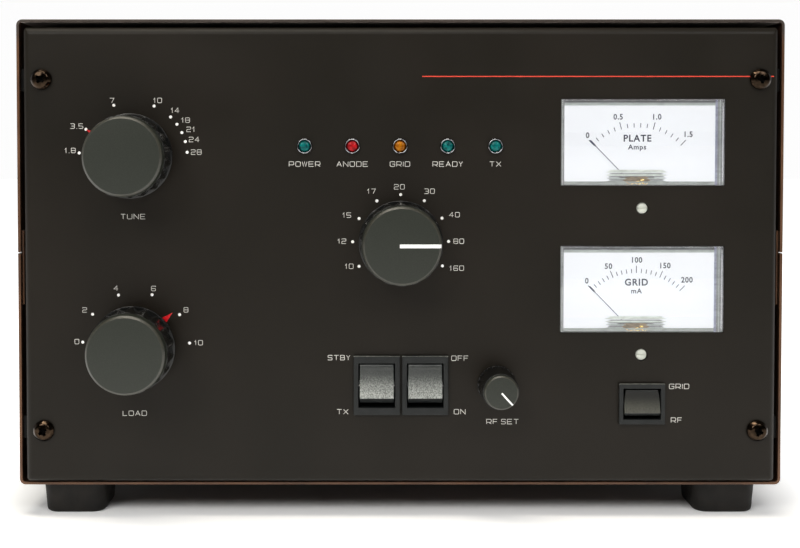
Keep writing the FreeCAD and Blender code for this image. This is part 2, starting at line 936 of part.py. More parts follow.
def corner_rails():
    """Four bars from the front panel to the rear panel, bored for the screws at both ends and the sides."""
    length = rear_inner_y - rail_y
    made = []
    for side in (-1, 1):
        for z in (screw_low_z, screw_high_z):
            middle = side * (inner_x - S.rail_wide / 2)
            bar = middle_block(middle, rail_y, z, S.rail_wide, length, S.rail_thick)
            radius = S.screw_radius + S.bore_gap
            rear_reach_in = S.small_screw_reach - S.rear_sheet + S.cutout_gap
            rear_start = rear_inner_y - rear_reach_in
            bores = [
                rod("y", side * screw_x, rail_y, z, radius, S.screw_reach + S.cutout_gap),
                rod("y", side * screw_x, rear_start, z, S.small_screw_radius + S.bore_gap, rear_reach_in),
            ]
            side_reach = S.small_screw_reach - S.cover_sheet + S.cutout_gap
            start = inner_x - side_reach if side > 0 else -inner_x
            for y in side_screw_ys():
                bores.append(rod("x", start, front_y + y, z, S.small_screw_radius + S.bore_gap, side_reach))
            made.append(cut_by(bar, bores))
    return group(made, "corner_rails")


# ---- the panels and the chassis


def rounded_slab(body, middle, wide, high, thick, corner):
    """An upright plate, thick towards the rear, with its four corners rounded."""
    face = sketch_on(body, "XZ_Plane")
    rectangle(face, Size(0), middle, wide, high)
    slab = pad(body, face, thick, backwards=True)
    return round_edges(body, slab, corner, lambda e: along(e, (0, 1, 0)))


def front_panel():
    """A thick tray with a rounded front edge and a hollow back, and a cut-out for everything it carries."""
    body = start_body("front_panel", 0, face_y, base_z)
    middle = S.panel_rise + panel_height / 2
    slab = rounded_slab(body, middle, panel_width, panel_height, S.panel_deep, S.panel_corner)
    round_edges(body, slab, S.panel_edge, lambda e: abs(e.CenterOfMass.y) < 0.01)
    back = sketch_on(body, "XZ_Plane", -S.panel_deep)
    rectangle(back, Size(0), middle, panel_width - S.panel_wall * 2, panel_height - S.panel_wall * 2)
    pocket(body, back, S.panel_deep - S.panel_skin, backwards=True)
    holes = sketch_on(body, "XZ_Plane", 0)
    for name, radius in (
        ("tune", S.drive_bush_radius),
        ("load", S.drive_bush_radius),
        ("band", S.switch_bush_radius),
        ("rf_set", S.pot_bush_radius),
    ):
        x, z = CONTROLS[name]
        circle(holes, x, z - base_z, radius + S.cutout_gap)
    for step in LAMPS.values():
        x = S.lamp_shift + S.lamp_spacing * step
        circle(holes, x, lamp_z - base_z, S.lamp_barrel_radius + S.cutout_gap)
    for z in METERS.values():
        circle(holes, meter_x, z - base_z - S.zero_below, S.zero_hole_radius)
        gap = S.cutout_gap * 2
        rectangle(holes, meter_x, z - base_z, S.window_wide + gap, S.window_high + gap)
    for x in (-screw_x, screw_x):
        for z in (screw_low_z, screw_high_z):
            circle(holes, x, z - base_z, S.screw_radius + S.cutout_gap)
    for maker in (TALL, LOW):
        for x in maker["xs"]:
            wide, high = housing_size(maker)
            gap = S.cutout_gap * 2
            rectangle(holes, x, maker["z"] - base_z, wide + gap, high + gap)
    pocket(body, holes, S.panel_deep)
    return body


def rear_panel():
    """A sheet between the covers, with cut-outs for the connectors and a round grille at the blower."""
    body = start_body("rear_panel", 0, rear_inner_y, base_z)
    edge = S.cover_sheet + S.rear_gap
    wide = (inner_x - S.rear_gap) * 2
    high = S.case_height - edge * 2
    rounded_slab(body, S.case_height / 2, wide, high, S.rear_sheet, S.cover_bend + S.rear_gap)
    holes = sketch_on(body, "XZ_Plane", 0)
    for x in (input_x, output_x):
        circle(holes, x, S.socket_rise, S.coax_hole_radius + S.cutout_gap)
    for x in (jack_x, jack_x + S.jack_spacing):
        circle(holes, x, S.socket_rise, S.jack_radius + S.cutout_gap)
    circle(holes, stud_x, S.stud_rise, S.stud_radius + S.cutout_gap)
    for x in (-screw_x, screw_x):
        for z in (screw_low_z, screw_high_z):
            circle(holes, x, z - base_z, S.small_screw_radius + S.cutout_gap)
    gap = S.cutout_gap * 2
    rectangle(holes, inlet_x, S.inlet_rise, S.inlet_wide + gap, S.inlet_high + gap)
    for step in range(-4, 5):
        offset = S.grille_spacing * step
        reach = S.impeller_radius
        chord = root(reach * reach - offset * offset) * 2
        upright_slot(holes, blower_x + offset, S.blower_rise, S.grille_bar, chord)
    pocket(body, holes, S.rear_sheet * 2)
    return body


def chassis_deck():
    """Folded deck between the rails, with the upright partition that stands on it."""
    start = rail_y + S.cutout_gap
    length = rear_inner_y - start
    half = rail_inner_x
    partition_y = face_y + S.partition_setback
    pieces = [
        block(-half, start, deck_z, half * 2, length, S.deck_sheet),
        block(-half, start, deck_z, S.deck_sheet, length, S.deck_flange),
        block(half - S.deck_sheet, start, deck_z, S.deck_sheet, length, S.deck_flange),
        block(partition_x, partition_y, deck_z, S.deck_sheet, rear_inner_y - partition_y, S.partition_high),
    ]
    return fused(pieces, "chassis_deck")


def air_box():
    """Sheet box on the deck, open below, with a mouth for the blower and a seat for each tube socket."""
    left = S.deck_sheet - rail_inner_x
    wide = partition_x - left
    wall = S.deck_sheet
    outer = block(left, air_box_front_y, deck_top_z, wide, S.air_box_long, S.air_box_high)
    hollow = block(
        left + wall,
        air_box_front_y + wall,
        deck_top_z - wall,
        wide - wall * 2,
        S.air_box_long - wall * 2,
        S.air_box_high,
    )
    mouth_z = base_z + S.blower_rise
    mouth_high = S.blower_mouth_wide / 2
    mouth_y = air_box_rear_y - wall * 2
    mouth = middle_block(blower_x, mouth_y, mouth_z, S.blower_mouth_wide, wall * 4, mouth_high)
    seat_z = air_box_top_z - wall * 2
    seats = [rod("z", x, tube_y(), seat_z, S.socket_radius - S.socket_flange, wall * 4) for x in tube_xs()]
    return cut_by(outer, [hollow, mouth] + seats, "air_box")


def tube_xs():
    return (tube_x - S.tube_spread / 2, tube_x + S.tube_spread / 2)


def tube_y():
    return (air_box_front_y + air_box_rear_y) / 2


# ---- knobs, pointers and slow-motion drives


def knob(name, stand):
    """Fluted body with a base flange and a collet bore, and a bevelled cap that plugs into its front."""
    x, z = CONTROLS[name]
    bore = S.spindle_radius + S.bore_gap
    front = S.knob_long - S.knob_cap_thick
    body = turned(
        name + "_knob",
        [
            (bore, -S.knob_back_deep),
            (S.knob_back_radius, -S.knob_back_deep),
            (S.knob_back_radius, 0),
            (S.knob_flange_radius, 0),
            (S.knob_flange_radius, -S.knob_flange_thick),
            (S.knob_base_radius, -S.knob_flange_thick),
            (S.knob_front_radius, -front),
            (S.knob_socket_radius, -front),
            (S.knob_socket_radius, -front + S.knob_socket_deep),
            (bore, -front + S.knob_socket_deep),
        ],
        x,
        face_y - stand,
        z,
    )
    flute(body, S.knob_base_radius, S.flute_radius, S.flute_deep, S.knob_flange_thick, front, S.flute_count)
    spigot = S.knob_socket_radius - S.bore_gap * 2
    cap = turned(
        name + "_knob_cap",
        [
            (0, 0),
            (spigot, 0),
            (spigot, -S.knob_socket_deep / 2),
            (S.knob_cap_radius, -S.knob_socket_deep / 2),
            (S.knob_cap_radius, -S.knob_socket_deep / 2 - S.knob_cap_thick + S.knob_cap_bevel),
            (S.knob_cap_radius - S.knob_cap_bevel, -S.knob_socket_deep / 2 - S.knob_cap_thick),
            (0, -S.knob_socket_deep / 2 - S.knob_cap_thick),
        ],
        x,
        face_y - stand - front + S.knob_socket_deep / 2,
        z,
    )
    return body, cap


def flute(body, radius, tool, deep, start, end, count):
    """Cuts one round groove along the side, from the flange to the front, and repeats it round the axis."""
    cutter = sketch_on(body, "XZ_Plane", start)
    circle(cutter, 0, radius - deep + tool, tool)
    groove = pocket(body, cutter, (end - start) * 2, backwards=True)
    return ring_of(body, groove, count)


def spindle(name):
    """The knob's own shaft, from inside the knob's collet to the back of the ball drive."""
    x, z = CONTROLS[name]
    start = knob_reach - S.knob_cap_thick - S.knob_socket_deep
    length = start + S.sleeve_long - S.pointer_stand - S.pointer_thick - S.cutout_gap * 5
    shaft = rod("y", x, face_y - start, z, S.spindle_radius, length)
    shaft.Label = name + "_spindle"
    return shaft


def pointer(name, angle):
    """A thin disc with one triangular tongue, on the sleeve that turns with the capacitor."""
    x, z = CONTROLS[name]
    body = start_body(name + "_pointer", x, face_y, z, (0, 1, 0), angle)
    plate = sketch_on(body, "XZ_Plane", S.pointer_stand)
    circle(plate, 0, 0, S.pointer_disc_radius)
    pad(body, plate, S.pointer_thick)
    tongue = sketch_on(body, "XZ_Plane", S.pointer_stand)
    foot = S.pointer_disc_radius * 0.85
    outline(tongue, [(-S.pointer_root, foot), (S.pointer_root, foot), (0, S.pointer_reach)])
    pad(body, tongue, S.pointer_thick)
    tube = sketch_on(body, "XZ_Plane", S.pointer_stand + S.pointer_thick)
    circle(tube, 0, 0, S.sleeve_radius)
    pad(body, tube, S.sleeve_long, backwards=True)
    bore = sketch_on(body, "XZ_Plane", S.pointer_stand + S.pointer_thick)
    circle(bore, 0, 0, S.spindle_radius + S.bore_gap)
    pocket(body, bore, S.sleeve_long - S.cutout_gap * 4)
    return body


def ball_drives():
    """Fixed outer races: a bush through the panel, a flange against its back and the drum for the balls."""
    hole = S.sleeve_radius + S.bore_gap
    flange_y = S.panel_skin + S.drive_flange_thick
    profile = [
        (hole, -S.drive_bush_proud),
        (S.drive_bush_radius, -S.drive_bush_proud),
        (S.drive_bush_radius, S.panel_skin),
        (S.drive_flange_radius, S.panel_skin),
        (S.drive_flange_radius, flange_y),
        (S.drive_radius, flange_y),
        (S.drive_radius, S.panel_skin + S.drive_long),
        (hole, S.panel_skin + S.drive_long),
    ]
    places = [CONTROLS[name] for name in ("tune", "load")]
    return group([turned("drive", profile, x, face_y, z) for x, z in places], "ball_drives")


def capacitor_frame_y():
    return face_y + S.capacitor_stand


def plate_y(index):
    """The near face of rotor plate number index, in the middle of its gap."""
    return capacitor_frame_y() + S.frame_thick + S.plate_spacing * (index + 1) - S.plate_thick / 2


def stator(name):
    """End plates on four tie rods from the front panel, and the fixed plates that hang between them."""
    x, z = CONTROLS[name]
    start = capacitor_frame_y()
    inside = S.plate_spacing * (S.rotor_plates + 1)
    count = int(float(S.rotor_plates))
    ends = [start, start + S.frame_thick + inside]
    pieces = [middle_block(x, y, z, S.frame_half * 2, S.frame_thick, S.frame_half * 2) for y in ends]
    for side in (-1, 1):
        for level in (-1, 1):
            length = S.capacitor_stand - S.panel_skin + S.frame_thick * 2 + inside
            spot = (x + side * S.tie_spread, skin_y, z + level * S.tie_spread)
            pieces.append(rod("y", *spot, S.tie_radius, length))
    drop = S.frame_half
    for index in range(count + 1):
        y = start + S.frame_thick + S.plate_spacing * (index + 0.5) - S.plate_thick / 2
        high = drop - S.plate_thick
        sheet_plate = block(x - S.frame_half, y, z - drop, S.frame_half * 2, S.plate_thick, high)
        notch = rod("y", x, y - S.plate_thick, z, S.stator_notch_radius, S.plate_thick * 3)
        pieces.append(cut_by(sheet_plate, [notch]))
    frame = fused(pieces)
    bearing = rod("y", x, start - S.frame_thick, z, S.spindle_radius + S.bore_gap, inside + S.frame_thick * 4)
    return cut_by(frame, [bearing], name + "_stator")


def rotor(name, angle):
    """The capacitor's shaft, its coupling to the sleeve and the half-round plates."""
    x, z = CONTROLS[name]
    sleeve_end = face_y - S.pointer_stand - S.pointer_thick + S.sleeve_long
    inside = S.plate_spacing * (S.rotor_plates + 1)
    shaft_end = capacitor_frame_y() + S.frame_thick * 2 + inside + S.frame_thick
    pieces = [
        rod("y", x, sleeve_end, z, S.spindle_radius, shaft_end - sleeve_end),
        rod("y", x, sleeve_end, z, S.rotor_hub_radius, S.frame_thick),
    ]
    for index in range(int(float(S.rotor_plates))):
        y = plate_y(index)
        half_round = rod("y", x, y, z, S.plate_radius, S.plate_thick)
        half_round.Angle = 180
        put(half_round, x, y, z)
        half_round.Placement = FreeCAD.Placement(
            Vector(float(x), float(y), float(z)),
            Rotation(Vector(0, 1, 0), float(angle) - 90) * Rotation(Vector(1, 0, 0), -90),
        )
        hub = rod("y", x, y - S.plate_thick / 2, z, S.rotor_hub_radius, S.plate_thick * 2)
        pieces += [half_round, hub]
    return fused(pieces, name + "_rotor")


# ---- band switch and drive level control


def band_switch():
    """Indexing head behind the panel, two tie rods and the ceramic wafers with their rotor holes."""
    x, z = CONTROLS["band"]
    hole = S.spindle_radius + S.bore_gap
    front = -S.band_knob_stand - S.knob_back_deep + S.cutout_gap
    head = [
        rod("y", x, face_y + front, z, S.switch_bush_radius, S.panel_skin - front),
        middle_block(x, skin_y, z, S.switch_plate, S.switch_plate_thick, S.switch_plate),
    ]
    span = S.wafer_first + S.wafer_spacing * (S.wafer_count - 1) + S.wafer_thick
    ties = [
        rod("y", x + side * S.wafer_tie_spread, skin_y, z, S.wafer_tie_radius, span + S.wafer_thick)
        for side in (-1, 1)
    ]
    thick = S.switch_plate_thick
    ears = [middle_block(x, skin_y, z, S.wafer_tie_spread * 2 + thick, thick / 2, thick)]
    wafers = []
    for index in range(int(float(S.wafer_count))):
        y = skin_y + S.wafer_first + S.wafer_spacing * index
        wafer = middle_block(x, y, z, S.wafer_wide, S.wafer_thick, S.wafer_high)
        eye = rod("y", x, y - S.wafer_thick, z, S.wafer_hole_radius, S.wafer_thick * 3)
        wafers.append(cut_by(wafer, [eye]))
    whole = fused(head + ties + ears + wafers)
    bore = rod("y", x, face_y + front - S.cutout_gap, z, hole, S.panel_skin - front + thick * 2)
    return cut_by(whole, [bore], "band_switch")


def band_switch_rotor():
    """The shaft under the knob and the wafers' rotor discs on it."""
    x, z = CONTROLS["band"]
    start = face_y - S.band_knob_stand - S.knob_long + S.knob_cap_thick + S.knob_socket_deep
    end = skin_y + S.wafer_first + S.wafer_spacing * (S.wafer_count - 1) + S.wafer_thick * 3
    pieces = [rod("y", x, start, z, S.spindle_radius, end - start)]
    for index in range(int(float(S.wafer_count))):
        y = skin_y + S.wafer_first + S.wafer_spacing * index
        pieces.append(rod("y", x, y, z, S.wafer_rotor_radius, S.wafer_thick))
    return fused(pieces, "band_switch_rotor")


def rf_set_knob():
    """Small fluted knob on the control's shaft."""
    x, z = CONTROLS["rf_set"]
    bore = S.spindle_radius + S.bore_gap
    front = S.rf_knob_long - S.rf_cap_thick
    body = turned(
        "rf_set_body",
        [
            (bore, 0),
            (S.rf_knob_base_radius, 0),
            (S.rf_knob_base_radius, -S.knob_flange_thick),
            (S.rf_knob_base_radius - S.cutout_gap, -S.knob_flange_thick),
            (S.rf_knob_front_radius, -front),
            (S.rf_cap_radius, -front),
            (S.rf_cap_radius, -S.rf_knob_long),
            (0, -S.rf_knob_long),
            (0, -front + S.knob_back_deep),
            (bore, -front + S.knob_back_deep),
        ],
        x,
        face_y - S.rf_knob_stand,
        z,
    )
    flute(
        body,
        S.rf_knob_base_radius - S.cutout_gap,
        S.rf_flute_radius,
        S.rf_flute_deep,
        S.knob_flange_thick,
        front,
        S.rf_flute_count,
    )
    start = face_y - S.rf_knob_stand - front + S.knob_back_deep + S.bore_gap
    shaft = rod("y", x, start, z, S.spindle_radius, skin_y + S.pot_long / 2 - start)
    return group([body, shaft], "rf_set_knob")


def rf_set_pot():
    x, z = CONTROLS["rf_set"]
    hole = S.spindle_radius + S.bore_gap
    return turned(
        "rf_set_pot",
        [
            (hole, -S.rf_knob_stand + S.cutout_gap),
            (S.pot_bush_radius, -S.rf_knob_stand + S.cutout_gap),
            (S.pot_bush_radius, S.panel_skin),
            (S.pot_radius, S.panel_skin),
            (S.pot_radius, S.panel_skin + S.pot_long),
            (0, S.panel_skin + S.pot_long),
            (0, S.panel_skin + S.pot_long / 2 + S.cutout_gap),
            (hole, S.panel_skin + S.pot_long / 2 + S.cutout_gap),
        ],
        x,
        face_y,
        z,
    )


# ---- lamps


def lamp_x(name):
    return S.lamp_shift + S.lamp_spacing * LAMPS[name]


def lamp_bezels():
    """Five turned bezels: a bevelled rim on the panel and a barrel through it."""
    bore = S.lamp_lens_radius + S.bore_gap
    profile = [
        (bore, -S.lamp_bezel_proud * 0.6),
        (bore + S.cutout_gap, -S.lamp_bezel_proud),
        (S.lamp_barrel_radius, -S.lamp_bezel_proud),
        (S.lamp_bezel_radius, -S.lamp_bezel_proud / 2),
        (S.lamp_bezel_radius, 0),
        (S.lamp_barrel_radius, 0),
        (S.lamp_barrel_radius, S.lamp_long),
        (bore, S.lamp_long),
    ]
    return group([turned("bezel", profile, lamp_x(name), face_y, lamp_z) for name in LAMPS], "lamp_bezels")


def lamp_lens(name):
    """A round lens with a shallow dome, inside its bezel."""
    x = lamp_x(name)
    front = face_y - S.lamp_lens_proud
    stem = rod("y", x, front, lamp_z, S.lamp_lens_radius, S.lamp_lens_proud + S.lamp_long)
    ball = doc.addObject("Part::Sphere", "Ball")
    ball.Radius = float(S.lamp_dome_radius)
    bind(ball, "Radius", S.lamp_dome_radius)
    put(ball, x, front + S.lamp_dome_radius, lamp_z)
    lens = named("Part::MultiCommon", name + "_lamp")
    lens.Shapes = [stem, ball]
    return lens


# ---- meters


def meter_case(name):
    """Moulded case behind the panel, open at the window, with posts for the dial and the bored magnet."""
    z = METERS[name]
    wide = S.window_wide + S.meter_wall * 2
    low = z - S.window_high / 2 - S.meter_skirt
    high = S.window_high + S.meter_skirt + S.meter_wall
    gap = S.cutout_gap * 2
    shell = block(meter_x - wide / 2, skin_y, low, wide, S.meter_deep, high)
    through = S.meter_front_wall + gap * 2
    view = middle_block(meter_x, skin_y - gap, z, S.window_wide + gap, through, S.window_high + gap)
    hollow = block(
        meter_x - wide / 2 + S.meter_wall / 2,
        skin_y + S.meter_front_wall,
        low + S.meter_wall / 2,
        wide - S.meter_wall,
        S.meter_deep - S.meter_front_wall - S.meter_wall,
        high - S.meter_wall,
    )
    zero = rod("y", meter_x, skin_y - gap, z - S.zero_below, S.zero_shank_radius + S.bore_gap, through)
    open_case = cut_by(shell, [view, hollow, zero])
    back_y = skin_y + S.meter_deep - S.meter_wall
    dial_back = face_y + S.dial_setback + S.dial_thick
    posts = [
        rod("y", meter_x + side * S.meter_post_spread, dial_back, z, S.meter_post_radius, back_y - dial_back)
        for side in (-1, 1)
    ]
    pivot_x, pivot_z = pivot(name)
    magnet = rod("y", pivot_x, back_y - S.movement_long, pivot_z, S.movement_radius, S.movement_long)
    body = fused([open_case, magnet] + posts)
    bearing = rod(
        "y",
        pivot_x,
        back_y - S.movement_long - gap,
        pivot_z,
        S.pivot_radius + S.bore_gap,
        S.movement_long / 2 + gap,
    )
    return cut_by(body, [bearing], name + "_case")


def pivot(name):
    return meter_x + S.pivot_shift, METERS[name] - S.pivot_below


def meter_window(name):
    """Clear tray a little proud of the panel, slotted below for the needle, with a hump over the movement."""
    z = METERS[name]
    front = face_y - S.window_proud
    deep = S.window_proud + S.dial_setback
    outer = middle_block(meter_x, front, z, S.window_wide, deep, S.window_high)
    side = S.window_side * 2
    inner = middle_block(
        meter_x, front + S.window_wall, z, S.window_wide - side, deep, S.window_high - side
    )
    low = z - S.window_high / 2
    slot = middle_block(meter_x, face_y + S.window_slot_back, low, S.window_slot, deep, side * 2)
    tray = cut_by(outer, [inner, slot])
    disc = rod(
        "y",
        meter_x + S.pivot_shift,
        front + S.window_wall,
        low + S.window_side + S.hump_high - S.hump_radius,
        S.hump_radius,
        S.hump_thick,
    )
    keep = middle_block(meter_x, front, z, S.window_wide - side, deep, S.window_high - S.window_side)
    hump = named("Part::MultiCommon", "Hump")
    hump.Shapes = [disc, keep]
    return fused([tray, hump], name + "_window")


def meter_dial(name):
    plate = middle_block(
        meter_x,
        face_y + S.dial_setback,
        METERS[name],
        S.window_wide - S.cutout_gap,
        S.dial_thick,
        S.window_high - S.cutout_gap,
    )
    plate.Label = name + "_dial"
    return plate


def meter_needle(name):
    """Tapered blade with a tail, a hub and the staff that runs in the magnet's bearing."""
    x, z = pivot(name)
    body = start_body(name + "_needle", x, face_y + S.needle_setback, z, (0, 1, 0), S.needle_angle)
    blade = sketch_on(body, "XZ_Plane")
    half = S.needle_wide / 2
    outline(
        blade,
        [
            (-half * 2, -S.needle_tail),
            (half * 2, -S.needle_tail),
            (half, S.needle_hub_radius),
            (half, S.needle_reach),
            (-half, S.needle_reach),
            (-half, S.needle_hub_radius),
        ],
    )
    pad(body, blade, S.needle_thick, backwards=True)
    hub = sketch_on(body, "XZ_Plane")
    circle(hub, 0, 0, S.needle_hub_radius)
    pad(body, hub, S.needle_hub_thick, backwards=True)
    staff = sketch_on(body, "XZ_Plane")
    circle(staff, 0, 0, S.pivot_radius)
    start = S.meter_deep + S.panel_skin - S.meter_wall - S.movement_long - S.needle_setback
    pad(body, staff, start + S.movement_long / 2 - S.cutout_gap, backwards=True)
    return body


def meter_adjuster(name):
    """Slotted zero screw that shows recessed in its hole in the panel."""
    z = METERS[name] - S.zero_below
    front = face_y + S.zero_setback
    head = rod("y", meter_x, front, z, S.zero_head_radius, S.zero_head_thick)
    slot = middle_block(meter_x, front - S.zero_slot, z, S.zero_head_radius * 3, S.zero_slot * 2, S.zero_slot)
    length = skin_y + S.meter_front_wall * 4 - front
    shank = rod("y", meter_x, front + S.zero_slot, z, S.zero_shank_radius, length)
    return fused([cut_by(head, [slot]), shank], name + "_adjuster")


# ---- rocker switches

TALL = {
    "xs": (S.standby_x, S.power_x),
    "z": base_z + S.tall_rise,
    "bezel": (S.tall_bezel_wide, S.tall_bezel_high),
    "opening": (S.tall_opening_wide, S.tall_opening_high),
    "rocker": S.tall_rocker_wide,
    "half": S.tall_rocker_half,
    "deep": S.tall_pivot_deep,
    "hollow": S.tall_hollow,
    "pivot": S.tall_pivot_setback,
    "tilt": S.tall_tilt,
    "levels": (-1, 0, 1),
}
LOW = {
    "xs": (meter_x,),
    "z": base_z + S.selector_rise,
    "bezel": (S.low_bezel_wide, S.low_bezel_high),
    "opening": (S.low_opening_wide, S.low_opening_high),
    "rocker": S.low_rocker_wide,
    "half": S.low_rocker_half,
    "deep": S.low_pivot_deep,
    "hollow": S.low_hollow,
    "pivot": S.low_pivot_setback,
    "tilt": S.low_tilt,
    "levels": (-0.5, 0.5),
}


def housing_size(kind):
    """The housing is smaller than the bezel by a ledge on every side."""
    wide, high = kind["bezel"]
    return wide - S.bezel_ledge * 2, high - S.bezel_ledge * 2


def switch_body(label, kind, x):
    """Bezel on the panel, housing behind it, a well for the rocker, pin holes and terminal blades."""
    z = kind["z"]
    wide, high = kind["bezel"]
    bezel = middle_block(x, face_y - S.bezel_proud, z, wide, S.bezel_proud, high)
    house_wide, house_high = housing_size(kind)
    housing = middle_block(x, face_y, z, house_wide, S.switch_deep, house_high)
    floor_y = face_y + kind["pivot"] + S.switch_floor
    well = middle_block(
        x,
        face_y - S.bezel_proud * 2,
        z,
        kind["opening"][0],
        floor_y - face_y + S.bezel_proud * 2,
        kind["opening"][1],
    )
    reach = kind["opening"][0] + S.rocker_pin_bite * 2 + S.cutout_gap
    pins = rod(
        "x", x - reach / 2, face_y + kind["pivot"], z, S.rocker_pin_radius + S.bore_gap, reach
    )
    blades = [
        middle_block(
            x, face_y + S.switch_deep, z + S.blade_spacing * level, S.blade_wide, S.blade_long, S.blade_thick
        )
        for level in kind["levels"]
    ]
    solid = fused([bezel, housing] + blades)
    return cut_by(solid, [well, pins], label)


def rocker(label, kind, x):
    """A rocker with a hollowed front and a pin stub on each side, resting with its top pressed in."""
    body = start_body(label, x, face_y + kind["pivot"], kind["z"], (1, 0, 0), -kind["tilt"])
    side = sketch_on(body, "YZ_Plane")
    half, deep = kind["half"], kind["deep"]
    outline(
        side,
        [
            (-deep, half),
            (-deep + kind["hollow"], 0),
            (-deep, -half),
            (-deep * 0.2, -half),
            (deep * 0.45, -half * 0.4),
            (deep * 0.45, half * 0.4),
            (-deep * 0.2, half),
        ],
    )
    pad(body, side, kind["rocker"], both_ways=True)
    stub = sketch_on(body, "YZ_Plane")
    circle(stub, 0, 0, S.rocker_pin_radius)
    pad(body, stub, kind["opening"][0] + S.rocker_pin_bite * 2, both_ways=True)
    return body


# ---- power supply, air and tubes


def transformer():
    """Laminated core with its windings through both windows, on two foot plates."""
    x = half_width - S.transformer_inset
    y = rear_y - S.transformer_from_rear
    z = deck_top_z + S.foot_plate_thick + S.core_high / 2
    core = middle_block(x, y - S.core_thick / 2, z, S.core_wide, S.core_thick, S.core_high)
    coil_wide = S.core_wide - S.core_limb * 2
    coil_high = S.core_high - S.core_limb * 2
    winding = start_body("winding", x, y, z)
    section = sketch_on(winding, "XZ_Plane", -S.coil_thick / 2)
    rectangle(section, Size(0), Size(0), coil_wide, coil_high)
    wound = pad(winding, section, S.coil_thick)
    round_edges(
        winding,
        wound,
        S.coil_corner,
        lambda e: along(e, (0, 0, 1)),
    )
    plates = [
        middle_block(
            x + side * (S.core_wide - S.foot_plate_wide) / 2,
            y - S.core_thick / 2 - S.foot_plate_wide / 2,
            deck_top_z + S.foot_plate_thick / 2,
            S.foot_plate_wide,
            S.core_thick + S.foot_plate_wide,
            S.foot_plate_thick,
        )
        for side in (-1, 1)
    ]
    return fused([core, winding] + plates, "transformer")


def power_board():
    """Circuit board on four posts, with four upright filter capacitors."""
    x = half_width - S.transformer_inset - S.board_wide / 2
    y = face_y + S.board_setback
    z = deck_top_z + S.board_stand
    pieces = [block(x, y, z, S.board_wide, S.board_long, S.board_thick)]
    inset = S.foot_edge * 3
    for px in (x + inset, x + S.board_wide - inset):
        for py in (y + inset, y + S.board_long - inset):
            pieces.append(rod("z", px, py, deck_top_z, S.foot_edge * 1.2, S.board_stand))
    for row in (-1, 1):
        for column in (-1, 1):
            cx = x + S.board_wide / 2 + S.can_spacing * column / 2
            cy = y + S.board_long / 2 + S.can_spacing * row / 2
            pieces.append(rod("z", cx, cy, z + S.board_thick, S.can_radius, S.can_high))
    return fused(pieces, "power_board")


def blower_housing():
    """Drum with an eye towards the rear grille, a mouth towards the air box, its motor inside and a foot."""
    x, z = blower_x, base_z + S.blower_rise
    rear = rear_inner_y
    start = rear - S.blower_long
    wall = S.blower_wall
    drum = rod("y", x, start, z, S.blower_radius, S.blower_long)
    foot_high = S.blower_rise - S.deck_rise - S.deck_sheet
    stand = middle_block(x, start, z - foot_high / 2, S.blower_mouth_wide, S.blower_long, foot_high)
    throat_long = rear - S.blower_long - air_box_rear_y
    throat = middle_block(
        x, air_box_rear_y, z, S.blower_mouth_wide, throat_long + wall, S.blower_mouth_wide / 2
    )
    hollow = rod("y", x, start + wall, z, S.blower_radius - wall, S.blower_long)
    duct = middle_block(
        x,
        air_box_rear_y - wall,
        z,
        S.blower_mouth_wide - wall * 2,
        throat_long + wall * 4,
        S.blower_mouth_wide / 2 - wall * 2,
    )
    shell = cut_by(fused([drum, stand, throat]), [hollow, duct])
    motor_y = start + wall
    spider = [
        middle_block(x, start, z, S.blower_motor_radius * 2, wall, S.blower_radius * 1.9),
        rod("y", x, motor_y, z, S.blower_motor_radius, S.blower_motor_long),
    ]
    whole = fused([shell] + spider)
    shaft_hole = rod(
        "y", x, motor_y + S.blower_motor_long / 2, z, S.pivot_radius + S.bore_gap, S.blower_motor_long
    )
    return cut_by(whole, [shaft_hole], "blower_housing")


def blower_impeller():
    """Squirrel-cage wheel: a back disc, upright vanes between it and the front ring, on the motor's shaft."""
    x, z = blower_x, base_z + S.blower_rise
    motor_end = rear_inner_y - S.blower_long + S.blower_wall + S.blower_motor_long
    start = motor_end + S.cutout_gap * 3
    body = start_body("blower_impeller", x, start, z)
    disc = sketch_on(body, "XZ_Plane")
    circle(disc, 0, 0, S.impeller_radius)
    pad(body, disc, S.blower_wall, backwards=True)
    rim = sketch_on(body, "XZ_Plane", -S.impeller_long + S.blower_wall)
    circle(rim, 0, 0, S.impeller_radius)
    circle(rim, 0, 0, S.impeller_radius - S.blade_ring)
    pad(body, rim, S.blower_wall, backwards=True)
    shaft = sketch_on(body, "XZ_Plane", S.blower_motor_long / 2)
    circle(shaft, 0, 0, S.pivot_radius)
    pad(body, shaft, S.blower_motor_long / 2 + S.blower_wall, backwards=True)
    blade = sketch_on(body, "XZ_Plane")
    rectangle(blade, Size(0), S.impeller_radius - S.blade_ring / 2, S.vane_thick, S.blade_ring * 0.9)
    vane = pad(body, blade, S.impeller_long - S.blower_wall / 2, backwards=True)
    ring_of(body, vane, S.vane_count)
    return body


def tube_sockets():
    """Ceramic sockets: a flange on the air box over each hole, with the tube's seat."""
    profile = [
        (S.tube_base_radius + S.bore_gap, 0),
        (S.socket_radius, 0),
        (S.socket_radius, -S.socket_thick / 3),
        (S.socket_radius - S.socket_flange, -S.socket_thick / 3),
        (S.socket_radius - S.socket_flange, -S.socket_thick),
        (S.tube_base_radius + S.bore_gap, -S.socket_thick),
    ]
    made = [turned("socket", profile, x, tube_y(), air_box_top_z, (1, 0, 0), -90) for x in tube_xs()]
    return group(made, "tube_sockets")


